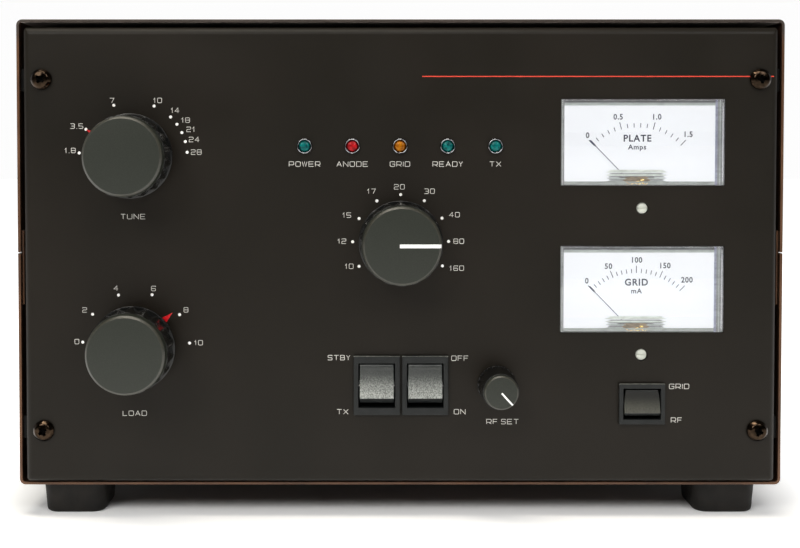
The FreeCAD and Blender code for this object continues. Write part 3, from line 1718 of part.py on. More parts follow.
def power_tubes():
    """Ceramic-metal tubes: base in the socket, ceramic body, and a finned anode cooler on top."""
    made = []
    for x in tube_xs():
        seat = air_box_top_z + S.socket_thick
        profile = [
            (0, S.socket_thick),
            (S.tube_base_radius, S.socket_thick),
            (S.tube_base_radius, 0),
            (S.tube_ceramic_radius, 0),
            (S.tube_ceramic_radius, -S.tube_ceramic_high),
            (S.tube_core_radius, -S.tube_ceramic_high),
        ]
        for index in range(int(float(S.tube_fin_count))):
            low = S.tube_ceramic_high + S.tube_fin_spacing * (index + 0.5)
            profile += [
                (S.tube_core_radius, -low),
                (S.tube_fin_radius, -low),
                (S.tube_fin_radius, -low - S.tube_fin_thick),
                (S.tube_core_radius, -low - S.tube_fin_thick),
            ]
        top = S.tube_ceramic_high + S.tube_fin_spacing * (S.tube_fin_count + 0.5)
        profile += [(S.tube_core_radius, -top), (0, -top)]
        made.append(turned("tube", profile, x, tube_y(), seat, (1, 0, 0), -90))
    return group(made, "power_tubes")


def tank_coil():
    """Edge-wound copper strip on two ceramic posts from the deck."""
    x, z = coil_x, base_z + S.coil_rise
    y = face_y + S.coil_setback
    long = S.coil_spacing * S.coil_turns
    coil = named("Part::Feature", "Strip")
    helix = Part.makeHelix(float(S.coil_spacing), float(long), float(S.coil_radius))
    strip = Part.makePolygon(
        [
            Vector(float(S.coil_radius - S.coil_strip / 2), 0, -float(S.coil_strip_thick) / 2),
            Vector(float(S.coil_radius + S.coil_strip / 2), 0, -float(S.coil_strip_thick) / 2),
            Vector(float(S.coil_radius + S.coil_strip / 2), 0, float(S.coil_strip_thick) / 2),
            Vector(float(S.coil_radius - S.coil_strip / 2), 0, float(S.coil_strip_thick) / 2),
            Vector(float(S.coil_radius - S.coil_strip / 2), 0, -float(S.coil_strip_thick) / 2),
        ]
    )
    coil.Shape = Part.Wire(helix.Edges).makePipeShell([strip], True, True)
    coil.Placement = FreeCAD.Placement(Vector(float(x), float(y), float(z)), Rotation(Vector(1, 0, 0), -90))
    posts = []
    reach = z - S.coil_radius - S.coil_strip / 4 - deck_top_z
    for py in (y + S.coil_spacing / 4 * 3, y + long - S.coil_spacing / 4):
        posts.append(rod("z", x, py, deck_top_z, S.coil_post_radius, reach))
    return group([coil] + posts, "tank_coil")


# ---- rear connectors


def coax_socket(x):
    """A square flange on the rear panel, a round barrel out of it and the centre contact's hole."""
    z = base_z + S.socket_rise
    flange = middle_block(x, rear_face_y, z, S.coax_flange, S.coax_flange_thick, S.coax_flange)
    barrel = rod("y", x, rear_face_y, z, S.coax_radius, S.coax_flange_thick + S.coax_reach)
    back = rod("y", x, rear_inner_y - S.coax_back, z, S.coax_hole_radius, S.coax_back + S.rear_sheet)
    end = rear_face_y + S.coax_flange_thick + S.coax_reach
    hole = rod("y", x, end - S.coax_centre_deep, z, S.coax_centre_radius, S.coax_centre_deep * 2)
    return cut_by(fused([flange, barrel, back]), [hole])


def rf_sockets():
    return group([coax_socket(input_x), coax_socket(output_x)], "rf_sockets")


def rear_jacks():
    """Two phono jacks with their nuts."""
    made = []
    z = base_z + S.socket_rise
    for x in (jack_x, jack_x + S.jack_spacing):
        barrel = rod("y", x, rear_inner_y - S.jack_reach, z, S.jack_radius, S.jack_reach * 2 + S.rear_sheet)
        nut = rod("y", x, rear_face_y, z, S.jack_nut_radius, S.jack_nut_thick)
        collar = rod("y", x, rear_inner_y - S.jack_nut_thick, z, S.jack_nut_radius, S.jack_nut_thick)
        bore = rod("y", x, rear_face_y, z, S.jack_bore_radius, S.jack_reach * 2)
        made.append(cut_by(fused([barrel, nut, collar]), [bore]))
    return group(made, "rear_jacks")


def mains_inlet():
    """Recessed mains inlet: a ledge on the rear panel, a cup through it and three blades on its floor."""
    x, z = inlet_x, base_z + S.inlet_rise
    ledge = middle_block(
        x, rear_face_y, z, S.inlet_wide + S.inlet_ledge * 2, S.inlet_ledge_thick, S.inlet_high + S.inlet_ledge
    )
    front = rear_face_y + S.inlet_ledge_thick
    cup = middle_block(x, front - S.inlet_deep, z, S.inlet_wide, S.inlet_deep, S.inlet_high)
    floor = front - S.inlet_deep + S.inlet_wall * 2
    wall = S.inlet_wall * 2
    hollow = middle_block(x, floor, z, S.inlet_wide - wall, S.inlet_deep, S.inlet_high - wall)
    spread = (S.inlet_wide - wall) / 3.4
    blade = (S.inlet_wall, S.inlet_blade_long, S.inlet_wall * 3)
    blades = [
        middle_block(x + spread * column, floor - S.inlet_wall, z + spread * lift, *blade)
        for column, lift in ((-1, -0.25), (0, 0.4), (1, -0.25))
    ]
    return fused([cut_by(fused([ledge, cup]), [hollow])] + blades, "mains_inlet")


def ground_stud():
    """Threaded stud through the rear panel with a nut on each side."""
    x, z = stud_x, base_z + S.stud_rise
    start = rear_inner_y - S.stud_back
    stud = rod("y", x, start, z, S.stud_radius, rear_face_y + S.stud_reach - start)
    nut = rod("y", x, rear_face_y, z, S.stud_nut_radius, S.stud_nut_thick)
    back_nut = rod("y", x, rear_inner_y - S.stud_nut_thick, z, S.stud_nut_radius, S.stud_nut_thick)
    return fused([stud, nut, back_nut], "ground_stud")


# ---- everything, by node name


def build_all():
    nodes = [bottom_cover(), top_cover(), front_panel(), rear_panel(), chassis_deck(), air_box()]
    nodes += [corner_rails(), panel_screws(), case_screws(), feet(), ball_drives()]
    for name, angle in (("tune", S.tune_pointer_angle), ("load", S.load_pointer_angle)):
        nodes += [*knob(name, S.tuning_knob_stand), spindle(name), pointer(name, angle)]
        nodes += [stator(name), rotor(name, angle)]
    nodes += [*knob("band", S.band_knob_stand), band_switch(), band_switch_rotor()]
    nodes += [rf_set_knob(), rf_set_pot()]
    green = group([lamp_lens(name) for name in ("power", "ready", "transmit")], "green_lamps")
    nodes += [lamp_bezels(), green, lamp_lens("anode"), lamp_lens("grid")]
    for name in METERS:
        nodes += [meter_case(name), meter_window(name), meter_dial(name)]
        nodes += [meter_needle(name), meter_adjuster(name)]
    for prefix, kind, x in (
        ("standby", TALL, S.standby_x),
        ("power", TALL, S.power_x),
        ("selector", LOW, meter_x),
    ):
        nodes += [switch_body(prefix + "_switch", kind, x), rocker(prefix + "_rocker", kind, x)]
    nodes += [transformer(), power_board(), blower_housing(), blower_impeller()]
    nodes += [tube_sockets(), power_tubes(), tank_coil()]
    nodes += [mains_inlet(), rf_sockets(), rear_jacks(), ground_stud()]
    return nodes


nodes = build_all()
doc.recompute()
for thing in doc.Objects:
    if {"Invalid", "Error"} & set(thing.State):
        raise RuntimeError("%s is in state %s" % (thing.Label, thing.State))
for node in nodes:
    if node.Shape.isNull() or not node.Shape.isValid() or not node.Shape.Solids:
        raise RuntimeError("%s has no valid solid" % node.Label)
os.makedirs("parts", exist_ok=True)
for node in nodes:
    node.Shape.exportStep("parts/%s.step" % node.Label)
box = nodes[0].Shape.BoundBox
for node in nodes[1:]:
    box.add(node.Shape.BoundBox)
print("%d nodes, %.1f x %.1f x %.1f mm, front %.2f, rear %.2f" % (
    len(nodes), box.XLength, box.YLength, box.ZLength, box.YMin, box.YMax
))
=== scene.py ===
import json
from math import cos, pi, radians, sin, sqrt, tan, tau

import bmesh
import bpy
from mathutils import Matrix, Vector


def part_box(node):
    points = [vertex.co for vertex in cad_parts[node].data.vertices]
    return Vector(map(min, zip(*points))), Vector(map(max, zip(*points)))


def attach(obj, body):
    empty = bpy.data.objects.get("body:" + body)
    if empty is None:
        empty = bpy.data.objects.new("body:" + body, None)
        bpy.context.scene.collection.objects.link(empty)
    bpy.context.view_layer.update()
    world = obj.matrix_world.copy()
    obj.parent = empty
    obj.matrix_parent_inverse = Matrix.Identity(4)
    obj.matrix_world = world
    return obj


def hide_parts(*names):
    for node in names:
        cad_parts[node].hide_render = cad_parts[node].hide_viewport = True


# Looks of a bench-top HF linear amplifier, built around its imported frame: metres, with drawings in mm.

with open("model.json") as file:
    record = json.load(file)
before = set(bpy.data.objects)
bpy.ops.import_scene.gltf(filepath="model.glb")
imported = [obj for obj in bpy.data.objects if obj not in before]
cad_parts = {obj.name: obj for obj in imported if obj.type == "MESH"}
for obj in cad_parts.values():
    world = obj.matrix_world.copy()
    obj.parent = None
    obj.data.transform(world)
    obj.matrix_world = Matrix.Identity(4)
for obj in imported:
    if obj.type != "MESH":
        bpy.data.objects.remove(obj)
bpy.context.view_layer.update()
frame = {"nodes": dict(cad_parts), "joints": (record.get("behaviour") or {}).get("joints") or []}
scene = bpy.context.scene
nodes = frame["nodes"]
joints = {joint["name"]: joint for joint in frame["joints"]}
mm = 0.001
print("frame loaded:", len(nodes), "nodes")


def low(node):
    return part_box(node)[0] / mm


def high(node):
    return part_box(node)[1] / mm


def middle(node):
    return (low(node) + high(node)) / 2


def halfWide(node):
    return (high(node).x - low(node).x) / 2


def pivotOf(joint):
    return Vector(joints[joint]["pos_m"]) / mm


panelFace = low("front_panel").y
rearFace = high("rear_panel").y


# shapes

front, rear, down = Vector((0, -1, 0)), Vector((0, 1, 0)), Vector((0, 0, -1))


def shift(x, y, z=0.0):
    return Matrix.Translation((x, y, z))


def turn(degrees, axis="Z"):
    return Matrix.Rotation(radians(degrees), 4, axis)


def facing(x, y, z, direction=front):
    # drawings in mm: local Z goes along the direction, and local Y stays upright
    aimed = direction.to_track_quat("Z", "Y").to_matrix().to_4x4()
    return Matrix.Translation(Vector((x, y, z)) * mm) @ aimed @ Matrix.Scale(mm, 4)


def linked(name, data):
    thing = bpy.data.objects.new(name, data)
    scene.collection.objects.link(thing)
    return thing


def meshData(name, mesh):
    # uses up the drawn mesh
    data = bpy.data.meshes.new(name)
    mesh.to_mesh(data)
    mesh.free()
    return data


def evaluated(thing):
    bpy.context.view_layer.update()
    return bpy.data.meshes.new_from_object(thing.evaluated_get(bpy.context.evaluated_depsgraph_get()))


def piece(name, mesh, look, body="chassis", place=None, replaced=(), slot=None, sharp=35):
    # look: the name of a material, or a list of names
    if place:
        moved(mesh, place)
    bmesh.ops.recalc_face_normals(mesh, faces=mesh.faces)
    data = meshData(name, mesh)
    data.shade_smooth()
    data.set_sharp_from_angle(angle=radians(sharp))
    thing = linked(name, data)
    for each in look if isinstance(look, list) else [look]:
        data.materials.append(surfaces[each])
    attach(thing, body)
    if replaced:
        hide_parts(*replaced)
    return thing


def joined(meshes):
    # one mesh out of several, which are used up
    whole = bmesh.new()
    for mesh in meshes:
        data = meshData("part", mesh)
        whole.from_mesh(data)
        bpy.data.meshes.remove(data)
    return whole


def moved(mesh, matrix):
    bmesh.ops.transform(mesh, matrix=matrix, verts=mesh.verts)
    return mesh


def filleted(points, radius, steps=3):
    # rounds every inner corner of a path with a short arc; a point's third value is its own radius
    path, count = [], len(points)
    for i, point in enumerate(points):
        here = Vector(point[:2])
        wanted = radius if len(point) < 3 else point[2]
        before, after = Vector(points[i - 1][:2]) - here, Vector(points[(i + 1) % count][:2]) - here
        atEnd = i in (0, count - 1) or min(before.length, after.length) < 1e-6
        angle = 0 if atEnd or wanted <= 0 else before.angle(after)
        if not radians(4) <= angle <= radians(176):
            path.append(here)
            continue
        cut = min(wanted / tan(angle / 2), 0.45 * before.length, 0.45 * after.length)
        start, end = here + before.normalized() * cut, here + after.normalized() * cut
        for t in (step / steps for step in range(steps + 1)):
            path.append(start * (1 - t) ** 2 + here * 2 * t * (1 - t) + end * t * t)
    return path


def spun(profile, steps=96, wave=None):
    # turns a (radius, height) profile about local Z; wave(angle, height, radius) changes the radius
    mesh, rows = bmesh.new(), []
    for radius, height in profile:
        if radius < 1e-6:
            rows.append([mesh.verts.new((0, 0, height))])
            continue
        row = []
        for angle in (tau * i / steps for i in range(steps)):
            reach = radius + (wave(angle, height, radius) if wave else 0)
            row.append(mesh.verts.new((reach * cos(angle), reach * sin(angle), height)))
        rows.append(row)
    for a, b in zip(rows, rows[1:]):
        for i in range(steps):
            j = i + 1
            mesh.faces.new(dict.fromkeys([a[i % len(a)], a[j % len(a)], b[j % len(b)], b[i % len(b)]]))
    return mesh


def raised(mesh, depth):
    # gives flat faces a thickness along local Z
    made = bmesh.ops.extrude_face_region(mesh, geom=mesh.faces[:])["geom"]
    points = [v for v in made if isinstance(v, bmesh.types.BMVert)]
    bmesh.ops.translate(mesh, vec=(0, 0, depth), verts=points)
    return mesh


def prism(outline, depth):
    # a closed outline in local XY, raised along local Z
    mesh = bmesh.new()
    mesh.faces.new([mesh.verts.new((x, y, 0)) for x, y in outline])
    return raised(mesh, depth)


def softEdges(mesh, width, steps=2, over=40):
    # rounds the edges that turn by more than the angle
    sharp = [e for e in mesh.edges if len(e.link_faces) == 2 and e.calc_face_angle(0) > radians(over)]
    arc = {"segments": steps, "profile": 0.5, "affect": "EDGES", "clamp_overlap": False}
    bmesh.ops.bevel(mesh, geom=sharp, offset=width, **arc)
    return mesh


def block(wide, tall, depth, soft=0.0):
    # centred in local XY, raised along local Z
    x, y = wide / 2, tall / 2
    mesh = prism([(-x, -y), (x, -y), (x, y), (-x, y)], depth)
    return softEdges(mesh, soft) if soft else mesh


def carved(mesh, cutters):
    # takes the cutters out of the mesh
    made = []
    for each in [mesh] + cutters:
        bmesh.ops.recalc_face_normals(each, faces=each.faces)
        made.append(linked("carving", meshData("carving", each)))
    for cutter in made[1:]:
        cut = made[0].modifiers.new("cut", "BOOLEAN")
        cut.object, cut.solver, cut.operation = cutter, "EXACT", "DIFFERENCE"
    result = bmesh.new()
    result.from_mesh(evaluated(made[0]))
    for thing in made:
        bpy.data.objects.remove(thing)
    return result


def welded(node):
    mesh = bmesh.new()
    mesh.from_mesh(nodes[node].data)
    bmesh.ops.remove_doubles(mesh, verts=mesh.verts, dist=0.002 * mm)
    return mesh


def softened(name, node, look, width, slot, steps=2):
    # a folded or moulded node with its edges rounded as the real one's are
    mesh = welded(node)
    bmesh.ops.dissolve_limit(mesh, angle_limit=radians(0.4), verts=mesh.verts, edges=mesh.edges)
    thing = piece(name, softEdges(mesh, width * mm, steps), look, "chassis", None, (node,), slot)
    weighted = thing.modifiers.new("flatFaces", "WEIGHTED_NORMAL")
    weighted.mode, weighted.weight, weighted.keep_sharp = "FACE_AREA", 80, True
    return thing


def looseParts(node):
    # the box in mm of each separate solid of a node
    mesh = welded(node)
    left, boxes = set(mesh.verts), []
    while left:
        reached = [left.pop()]
        for vertex in reached:
            for edge in vertex.link_edges:
                other = edge.other_vert(vertex)
                if other in left:
                    left.remove(other)
                    reached.append(other)
        sides = [[v.co[axis] / mm for v in reached] for axis in range(3)]
        boxes.append((Vector([min(side) for side in sides]), Vector([max(side) for side in sides])))
    mesh.free()
    return sorted(boxes, key=lambda box: tuple(round(c, 1) for c in box[0]))


# materials


def srgb(text):
    shares = [int(text[i : i + 2], 16) / 255 for i in (1, 3, 5)]
    return [s / 12.92 if s <= 0.04045 else ((s + 0.055) / 1.055) ** 2.4 for s in shares] + [1.0]


def addNode(tree, kind, settings=None, links=None, out=0):
    # settings are inputs or properties; gives back one of the node's outputs
    node = tree.nodes.new("ShaderNode" + kind)
    for key, value in (settings or {}).items():
        if isinstance(key, int) or key in node.inputs:
            node.inputs[key].default_value = value
        else:
            setattr(node, key, value)
    for key, socket in (links or {}).items():
        tree.links.new(socket, node.inputs[key])
    return node.outputs[out] if node.outputs else None


def perMm(size):
    # a pattern's scale, so that its blotches are that many mm across
    return 1 / (size * mm)


eased = {"interpolation_type": "SMOOTHSTEP"}
even, grain = (1, 1, 1), (0.3, 1, 1)
metal = {"Metallic": 1.0}


def clear(ior, level=0.5, **more):
    # a shader for what isn't metal
    return {"IOR": ior, "Specular IOR Level": level, **more}


def makeSurface(name, shader, tone=None, gloss=None, relief=(), stretch=even, lower=None, fade=(0.85, 0.2)):
    # tone and gloss: from, to and mm of soft blotches; relief: mm across, mm deep and whether in cells;
    # the lower pair of tones takes over towards the bottom of the piece, as painted light: a differently lit
    # lower part
    material = bpy.data.materials.new(name)
    material.use_nodes = True
    tree = material.node_tree
    tree.nodes.clear()
    where = addNode(tree, "TexCoord", out="Object")
    drawn = addNode(tree, "Mapping", {"Scale": stretch}, {"Vector": where})
    links = {}

    def cloud(size, detail, start, end, least=0.0, most=1.0):
        # soft blotches, with what lies from start to end stretched to run from least to most
        blotches = addNode(tree, "TexNoise", {"Scale": perMm(size), "Detail": detail}, {"Vector": drawn})
        limits = {"From Min": start, "From Max": end, "To Min": least, "To Max": most}
        return addNode(tree, "MapRange", limits, {"Value": blotches})

    if tone:
        share = cloud(tone[2], 3.0, 0.35, 0.65)
        tones = {"data_type": "RGBA", 6: srgb(tone[0]), 7: srgb(tone[1])}
        colour = addNode(tree, "Mix", tones, {0: share}, 2)
        if lower:
            inPiece = addNode(tree, "TexCoord", out="Generated")
            height = addNode(tree, "SeparateXYZ", None, {0: inPiece}, 2)
            limits = {**eased, "From Min": fade[0], "From Max": fade[1]}
            downwards = addNode(tree, "MapRange", limits, {"Value": height})
            lowerTones = {"data_type": "RGBA", 6: srgb(lower[0]), 7: srgb(lower[1])}
            lowerColour = addNode(tree, "Mix", lowerTones, {0: share}, 2)
            both = {0: downwards, 6: colour, 7: lowerColour}
            colour = addNode(tree, "Mix", {"data_type": "RGBA"}, both, 2)
        links["Base Color"] = colour
        if "Emission Strength" in shader and "Emission Color" not in shader:
            links["Emission Color"] = colour
    if gloss:
        links["Roughness"] = cloud(gloss[2], 4.0, 0.3, 0.7, *gloss[:2])
    for size, depth, *cells in relief:
        kind = "TexVoronoi" if cells else "TexNoise"
        height = addNode(tree, kind, {"Scale": perMm(size)}, {"Vector": drawn})
        under = {"Normal": links["Normal"]} if "Normal" in links else {}
        bump = {"Strength": 1.0, "Distance": depth * mm}
        links["Normal"] = addNode(tree, "Bump", bump, {"Height": height, **under})
    surface = addNode(tree, "BsdfPrincipled", shader, links)
    addNode(tree, "OutputMaterial", None, {"Surface": surface})
    return material


def tintedLens(dark, light, glow):
    # tinted acrylic lens over a dim lamp: deep saturated colour, unevenly lit through its facets
    return clear(1.49, 0.15, **{"Emission Strength": glow, "Roughness": 0.3}), (dark, light, 1.8)


def shadedEdge(dark, light):
    # painted shade and painted reflections at the edges of a meter's acrylic, where the lamp doesn't reach:
    # bands of one tone, streaked lengthwise
    return clear(1.49, Roughness=0.4), (dark, light, 1.2), None, (), grain


surfaceRows = {
    # stoved enamel: very dark brown, faint orange peel; its warm bright edges are a painted highlight, given
    # by the cut-edge materials below
    "enamelledSteel": (clear(1.5, 0.16), ("#2c1e16", "#33231a", 120), (0.28, 0.34, 60), [(2.4, 0.003)]),
    # cut front edge of the sheet: a painted highlight, a warm brown line
    "paintedEdgeHighlight": (clear(1.5, 0.3), ("#4c3322", "#63442e", 25), (0.3, 0.4, 20)),
    # the same painted highlight on the edge of the upper sheet, grey along the roof and warm brown down the
    # sides
    "paintedEdgeHighlightGreyRoof": (
        clear(1.5, 0.3), ("#37302b", "#433b36", 25), (0.3, 0.4, 20), (), even,
        ("#4c3322", "#63442e"), (0.97, 0.9),
    ),
    # underside of the top sheet's front lip: enamel painted pale, painted light as if the front's light
    # reached it
    "paintedLightLipEnamel": (clear(1.5, 0.2), ("#857b75", "#958a83", 30), (0.5, 0.6, 20)),
    # satin paint baked on aluminium: an even warm near-black
    "paintedAluminium": (clear(1.48, 0.16), ("#191611", "#1e1a15", 90), (0.38, 0.46, 30), [(0.5, 0.006)]),
    # powder coat on steel: black and finely pebbled
    "powderCoatedSteel": (clear(1.5), ("#201d1a", "#25221f", 60), (0.45, 0.52, 30), [(0.7, 0.008)]),
    # rolled aluminium: grey with faint lines along the rolling direction
    "rolledAluminium": (metal, ("#a9abab", "#bdbfbe", 5), (0.32, 0.46, 4), [(0.9, 0.004)], (1, 0.08, 1)),
    # black anodised bar: dark satin with die lines along its length
    "anodisedAluminium": (
        clear(1.5, 0.2), ("#0b0a0a", "#121110", 3), (0.38, 0.52, 2), [(0.6, 0.006)], (1, 0.05, 1)
    ),
    # bronze plating: dark brown metal with warm sparks on the rounded head
    "bronzePlatedSteel": (metal, ("#231c15", "#3c3026", 3), (0.13, 0.22, 2), [(0.8, 0.004)]),
    # black oxide on steel screws: nearly black, oily sheen
    "blackOxideSteel": (metal, ("#1d1c1c", "#2a2928", 2), (0.3, 0.42, 2)),
    # bottom of a driver's recess: painted shade, nearly black and dull
    "paintedRecessShade": (clear(1.4, 0.1), ("#050403", "#0b0908", 1), (0.6, 0.8, 1)),
    # moulded rubber: matt black with a dusty bloom
    "mouldedRubber": (clear(1.5, 0.2), ("#13110f", "#1c1916", 8), (0.5, 0.66, 6), [(0.5, 0.02)]),
    # compression-moulded phenolic: deep glossy black
    "mouldedPhenolic": (clear(1.55, 0.36), ("#0c0c0b", "#151514", 9), (0.2, 0.28, 7), [(1.2, 0.003)]),
    # nylon with a fine spark-eroded texture: matt grey-green
    "mouldedNylon": (clear(1.53, 0.3), ("#232620", "#292c26", 0.7), (0.36, 0.44, 3), [(0.25, 0.01)]),
    # the cap's turned bevel: paler and warmer than its face
    "turnedNylon": (clear(1.55), ("#2c2c25", "#36352c", 2), (0.34, 0.42, 2)),
    # red acrylic, painted on the back: even, saturated, lightly glossy
    "paintedAcrylic": (
        {"IOR": 1.49, "Coat Weight": 0.4, "Coat Roughness": 0.1}, ("#c4101a", "#d8141f", 12), (0.3, 0.4, 6)
    ),
    # ground steel shaft: bright with fine rings round it
    "groundSteel": (metal, ("#a6a7a8", "#b9babb", 4), (0.2, 0.3, 1.5), [(0.4, 0.002)], (0.1, 1, 0.1)),
    # turned brass: warm yellow with tool marks
    "turnedBrass": (metal, ("#b8924c", "#cda75e", 5), (0.2, 0.32, 1.5), [(0.5, 0.003)], (0.1, 1, 0.1)),
    # etched aluminium plates: pale, satin, a little cloudy
    "etchedAluminium": (metal, ("#b8babb", "#cccdcd", 8), (0.34, 0.48, 5), [(0.4, 0.003)]),
    # glazed steatite: cream-white with a soft gloss
    "glazedSteatite": (
        {"IOR": 1.56, "Coat Weight": 0.5, "Coat Roughness": 0.12},
        ("#e3dccb", "#efe9da", 10), (0.3, 0.42, 4), [(1.5, 0.01)],
    ),
    # chromium plate on turned brass: mirror-like rim
    "chromedBrass": (metal, ("#6d6f73", "#85878b", 3), (0.1, 0.18, 2)),
    # the middle of each lens, and its steep rim, which takes a darker copy as painted shade and glows less
    "greenAcrylic": tintedLens("#01383a", "#046a66", 0.2),
    "greenAcrylicRim": tintedLens("#013230", "#045551", 0.1),
    "redAcrylic": tintedLens("#6c070c", "#a61319", 0.2),
    "redAcrylicRim": tintedLens("#4c0508", "#861116", 0.1),
    "amberAcrylic": tintedLens("#754002", "#a56503", 0.17),
    "amberAcrylicRim": tintedLens("#5a2c02", "#8e4e02", 0.1),
    # moulded Bakelite meter case: brown-black, semi-gloss
    "mouldedBakelite": (clear(1.58), ("#161311", "#1f1b18", 12), (0.3, 0.4, 8), [(0.9, 0.006)]),
    # cast acrylic: clear
    "castAcrylic": (
        {"IOR": 1.49, "Transmission Weight": 1.0, "Base Color": srgb("#f7fbfa"), "Roughness": 0.0},
    ),
    "darkEdge": shadedEdge("#757379", "#8d8b90"),
    "greyEdge": shadedEdge("#a3a1a7", "#b6b6ba"),
    "paleEdge": shadedEdge("#cccfcf", "#dcdfde"),
    "lavenderEdge": shadedEdge("#a9a7c4", "#c4c2dc"),
    # upper streaks of the frosted part, with a painted glow where the dial's lamp still reaches them
    "milkyEdge": (
        {"IOR": 1.49, "Roughness": 0.4, "Emission Strength": 0.4},
        ("#c3c5c1", "#d9dbd7", 1.2), None, (), grain,
    ),
    # springs and wire behind the frosted part: a brown blur; then painted glints, flakes that glow bright
    # gold where the lamp would catch them
    "blurredCopper": shadedEdge("#8a7b6d", "#bfa58c"),
    "gildedBronze": ({"Roughness": 0.25, "Emission Strength": 1.3}, ("#a8791c", "#ffe9a6", 0.7)),
    # translucent white dial with a lamp behind it: bright, even, a touch lavender
    "litDial": (
        {"IOR": 1.5, "Roughness": 0.6, "Emission Strength": 0.98, "Emission Color": srgb("#fdfbff")},
        ("#55545e", "#62616a", 45),
    ),
    # screen-printed dial ink: bluish grey, slightly uneven
    "dialInk": (clear(1.5, Roughness=0.6), ("#2b2d44", "#3b3d56", 0.9)),
    # screen-printed white ink: flat white, thin at places
    "whiteInk": (clear(1.5), ("#e6e4dd", "#ffffff", 0.8), (0.5, 0.6, 1)),
    # the same ink in thin strokes, which lets the dark paint through
    "thinInk": (clear(1.5), ("#bbb9b4", "#d3d1cb", 0.8), (0.5, 0.6, 1)),
    # screen-printed red ink: flat and warm
    "redInk": (clear(1.5), ("#d23a25", "#e5442c", 2), (0.45, 0.55, 1)),
    # white filling in a moulded groove: bright and even
    "filledWhite": (clear(1.5), ("#f4f4f2", "#ffffff", 3), (0.35, 0.45, 1)),
    # lacquered aluminium strip of a needle: dark blue-grey
    "lacqueredAluminium": ({"Metallic": 0.2}, ("#3a3c58", "#4a4c68", 2), (0.4, 0.5, 1)),
    # acetal zero adjuster: pale grey, waxy
    "mouldedAcetal": (
        {"IOR": 1.48, "Subsurface Weight": 0.1, "Subsurface Radius": (0.001, 0.001, 0.001)},
        ("#c3c6bc", "#d3d6cb", 3), (0.38, 0.5, 2),
    ),
    # moulded polyamide bezel: satin black, very finely textured
    "mouldedPolyamide": (clear(1.53, 0.22), ("#181a1a", "#1e2020", 5), (0.32, 0.42, 4), [(0.3, 0.006)]),
    # the bezel's upper front edge: a painted highlight, a pale grey line
    "paintedHighlightPolyamide": (clear(1.53), ("#64665f", "#7b7d76", 2), (0.2, 0.3, 2)),
    # rocker with a coarse spark-eroded face: dark speckled grey, with painted light making its lower part
    # much paler
    "texturedPolycarbonate": (
        clear(1.58), ("#282a29", "#383b39", 0.6), (0.3, 0.42, 0.6), [(0.7, 0.04)], even,
        ("#565956", "#b0b3ae"),
    ),
    # low rocker with a finer face: dark and warm, with painted light making it paler towards its lower lip
    "satinPolycarbonate": (
        clear(1.58, 0.32), ("#11110f", "#181815", 0.5), (0.3, 0.4, 0.6), [(0.5, 0.015)], even,
        ("#3b3b36", "#52524b"),
    ),
    # varnished laminations: dark steel with fine lines between the sheets
    "varnishedLaminations": (
        {"Metallic": 0.7, "Coat Weight": 0.5, "Coat Roughness": 0.2},
        ("#2e2b28", "#4b4742", 1.2), (0.35, 0.5, 2), [(1.0, 0.03)], (0.05, 1, 0.05),
    ),
    # glass-fibre circuit board: green solder resist over a faint weave
    "glassFibreBoard": (
        {"IOR": 1.55, "Coat Weight": 0.5, "Coat Roughness": 0.15},
        ("#17402a", "#1f5236", 3), (0.3, 0.42, 2), [(0.8, 0.01, True)],
    ),
    # hot-dip galvanised sheet: pale spangles
    "galvanisedSteel": (metal, ("#8f9294", "#aeb1b2", 7), (0.3, 0.5, 6), [(6, 0.02, True)]),
    # zinc-plated wheel: bluish bright metal
    "zincPlatedSteel": (metal, ("#9ba1a8", "#b5bac0", 4), (0.22, 0.34, 3)),
    # alumina envelope of a tube: dense white ceramic
    "firedAlumina": (clear(1.76), ("#dedbd6", "#ece9e4", 6), (0.35, 0.5, 3), [(0.6, 0.006)]),
    # plated copper strip: warm pinkish metal
    "platedCopper": (metal, ("#b86f4a", "#d08a63", 5), (0.2, 0.34, 3)),
    # moulded polyester inlet: plain satin black
    "mouldedPolyester": (clear(1.57), ("#121212", "#1a1a1a", 5), (0.34, 0.46, 3), [(0.4, 0.008)]),
    # nickel plate on turned brass: warm silver, a little dulled
    "nickelPlatedBrass": (metal, ("#a9a49b", "#bfbab0", 3), (0.16, 0.3, 2), [(0.4, 0.002)]),
    # matt studio paper
    "mattPaper": (clear(1.4), ("#f4f5f5", "#f8f8f8", 300), (0.8, 0.9, 100)),
}
surfaces = {name: makeSurface(name, *row) for name, row in surfaceRows.items()}


# the paper glows beside and behind the object, where it fades into the white, and stays dark underneath
tree = surfaces["mattPaper"].node_tree
paper = next(node for node in tree.nodes if node.type == "BSDF_PRINCIPLED")
spot = addNode(tree, "TexCoord", out="Object")
beside = []
for axis, centre, half in ((0, 0.0, 0.205), (1, 0.0085, 0.195)):
    across = addNode(tree, "SeparateXYZ", None, {0: spot}, axis)
    offset = addNode(tree, "Math", {"operation": "SUBTRACT", 1: centre}, {0: across})
    distance = addNode(tree, "Math", {"operation": "ABSOLUTE"}, {0: offset})
    beside.append(addNode(tree, "Math", {"operation": "SUBTRACT", 1: half}, {0: distance}))
furthest = addNode(tree, "Math", {"operation": "MAXIMUM"}, {0: beside[0], 1: beside[1]})
limits = {**eased, "From Min": -0.03, "From Max": 0.07, "To Max": 0.96}
away = addNode(tree, "MapRange", limits, {"Value": furthest})
# the dimmer part in front only lowers what the object's glossy faces get from it
limits = {**eased, "From Min": -0.6, "From Max": -0.26, "To Min": 0.3}
inFront = addNode(tree, "MapRange", limits, {"Value": across})
direct = addNode(tree, "LightPath", out="Is Camera Ray")
share = addNode(tree, "Math", {"operation": "MAXIMUM"}, {0: direct, 1: inFront})
glow = addNode(tree, "Math", {"operation": "MULTIPLY"}, {0: away, 1: share})
tree.links.new(glow, paper.inputs["Emission Strength"])
paper.inputs["Emission Color"].default_value = srgb("#ffffff")
print("materials made")


# camera, light and floor

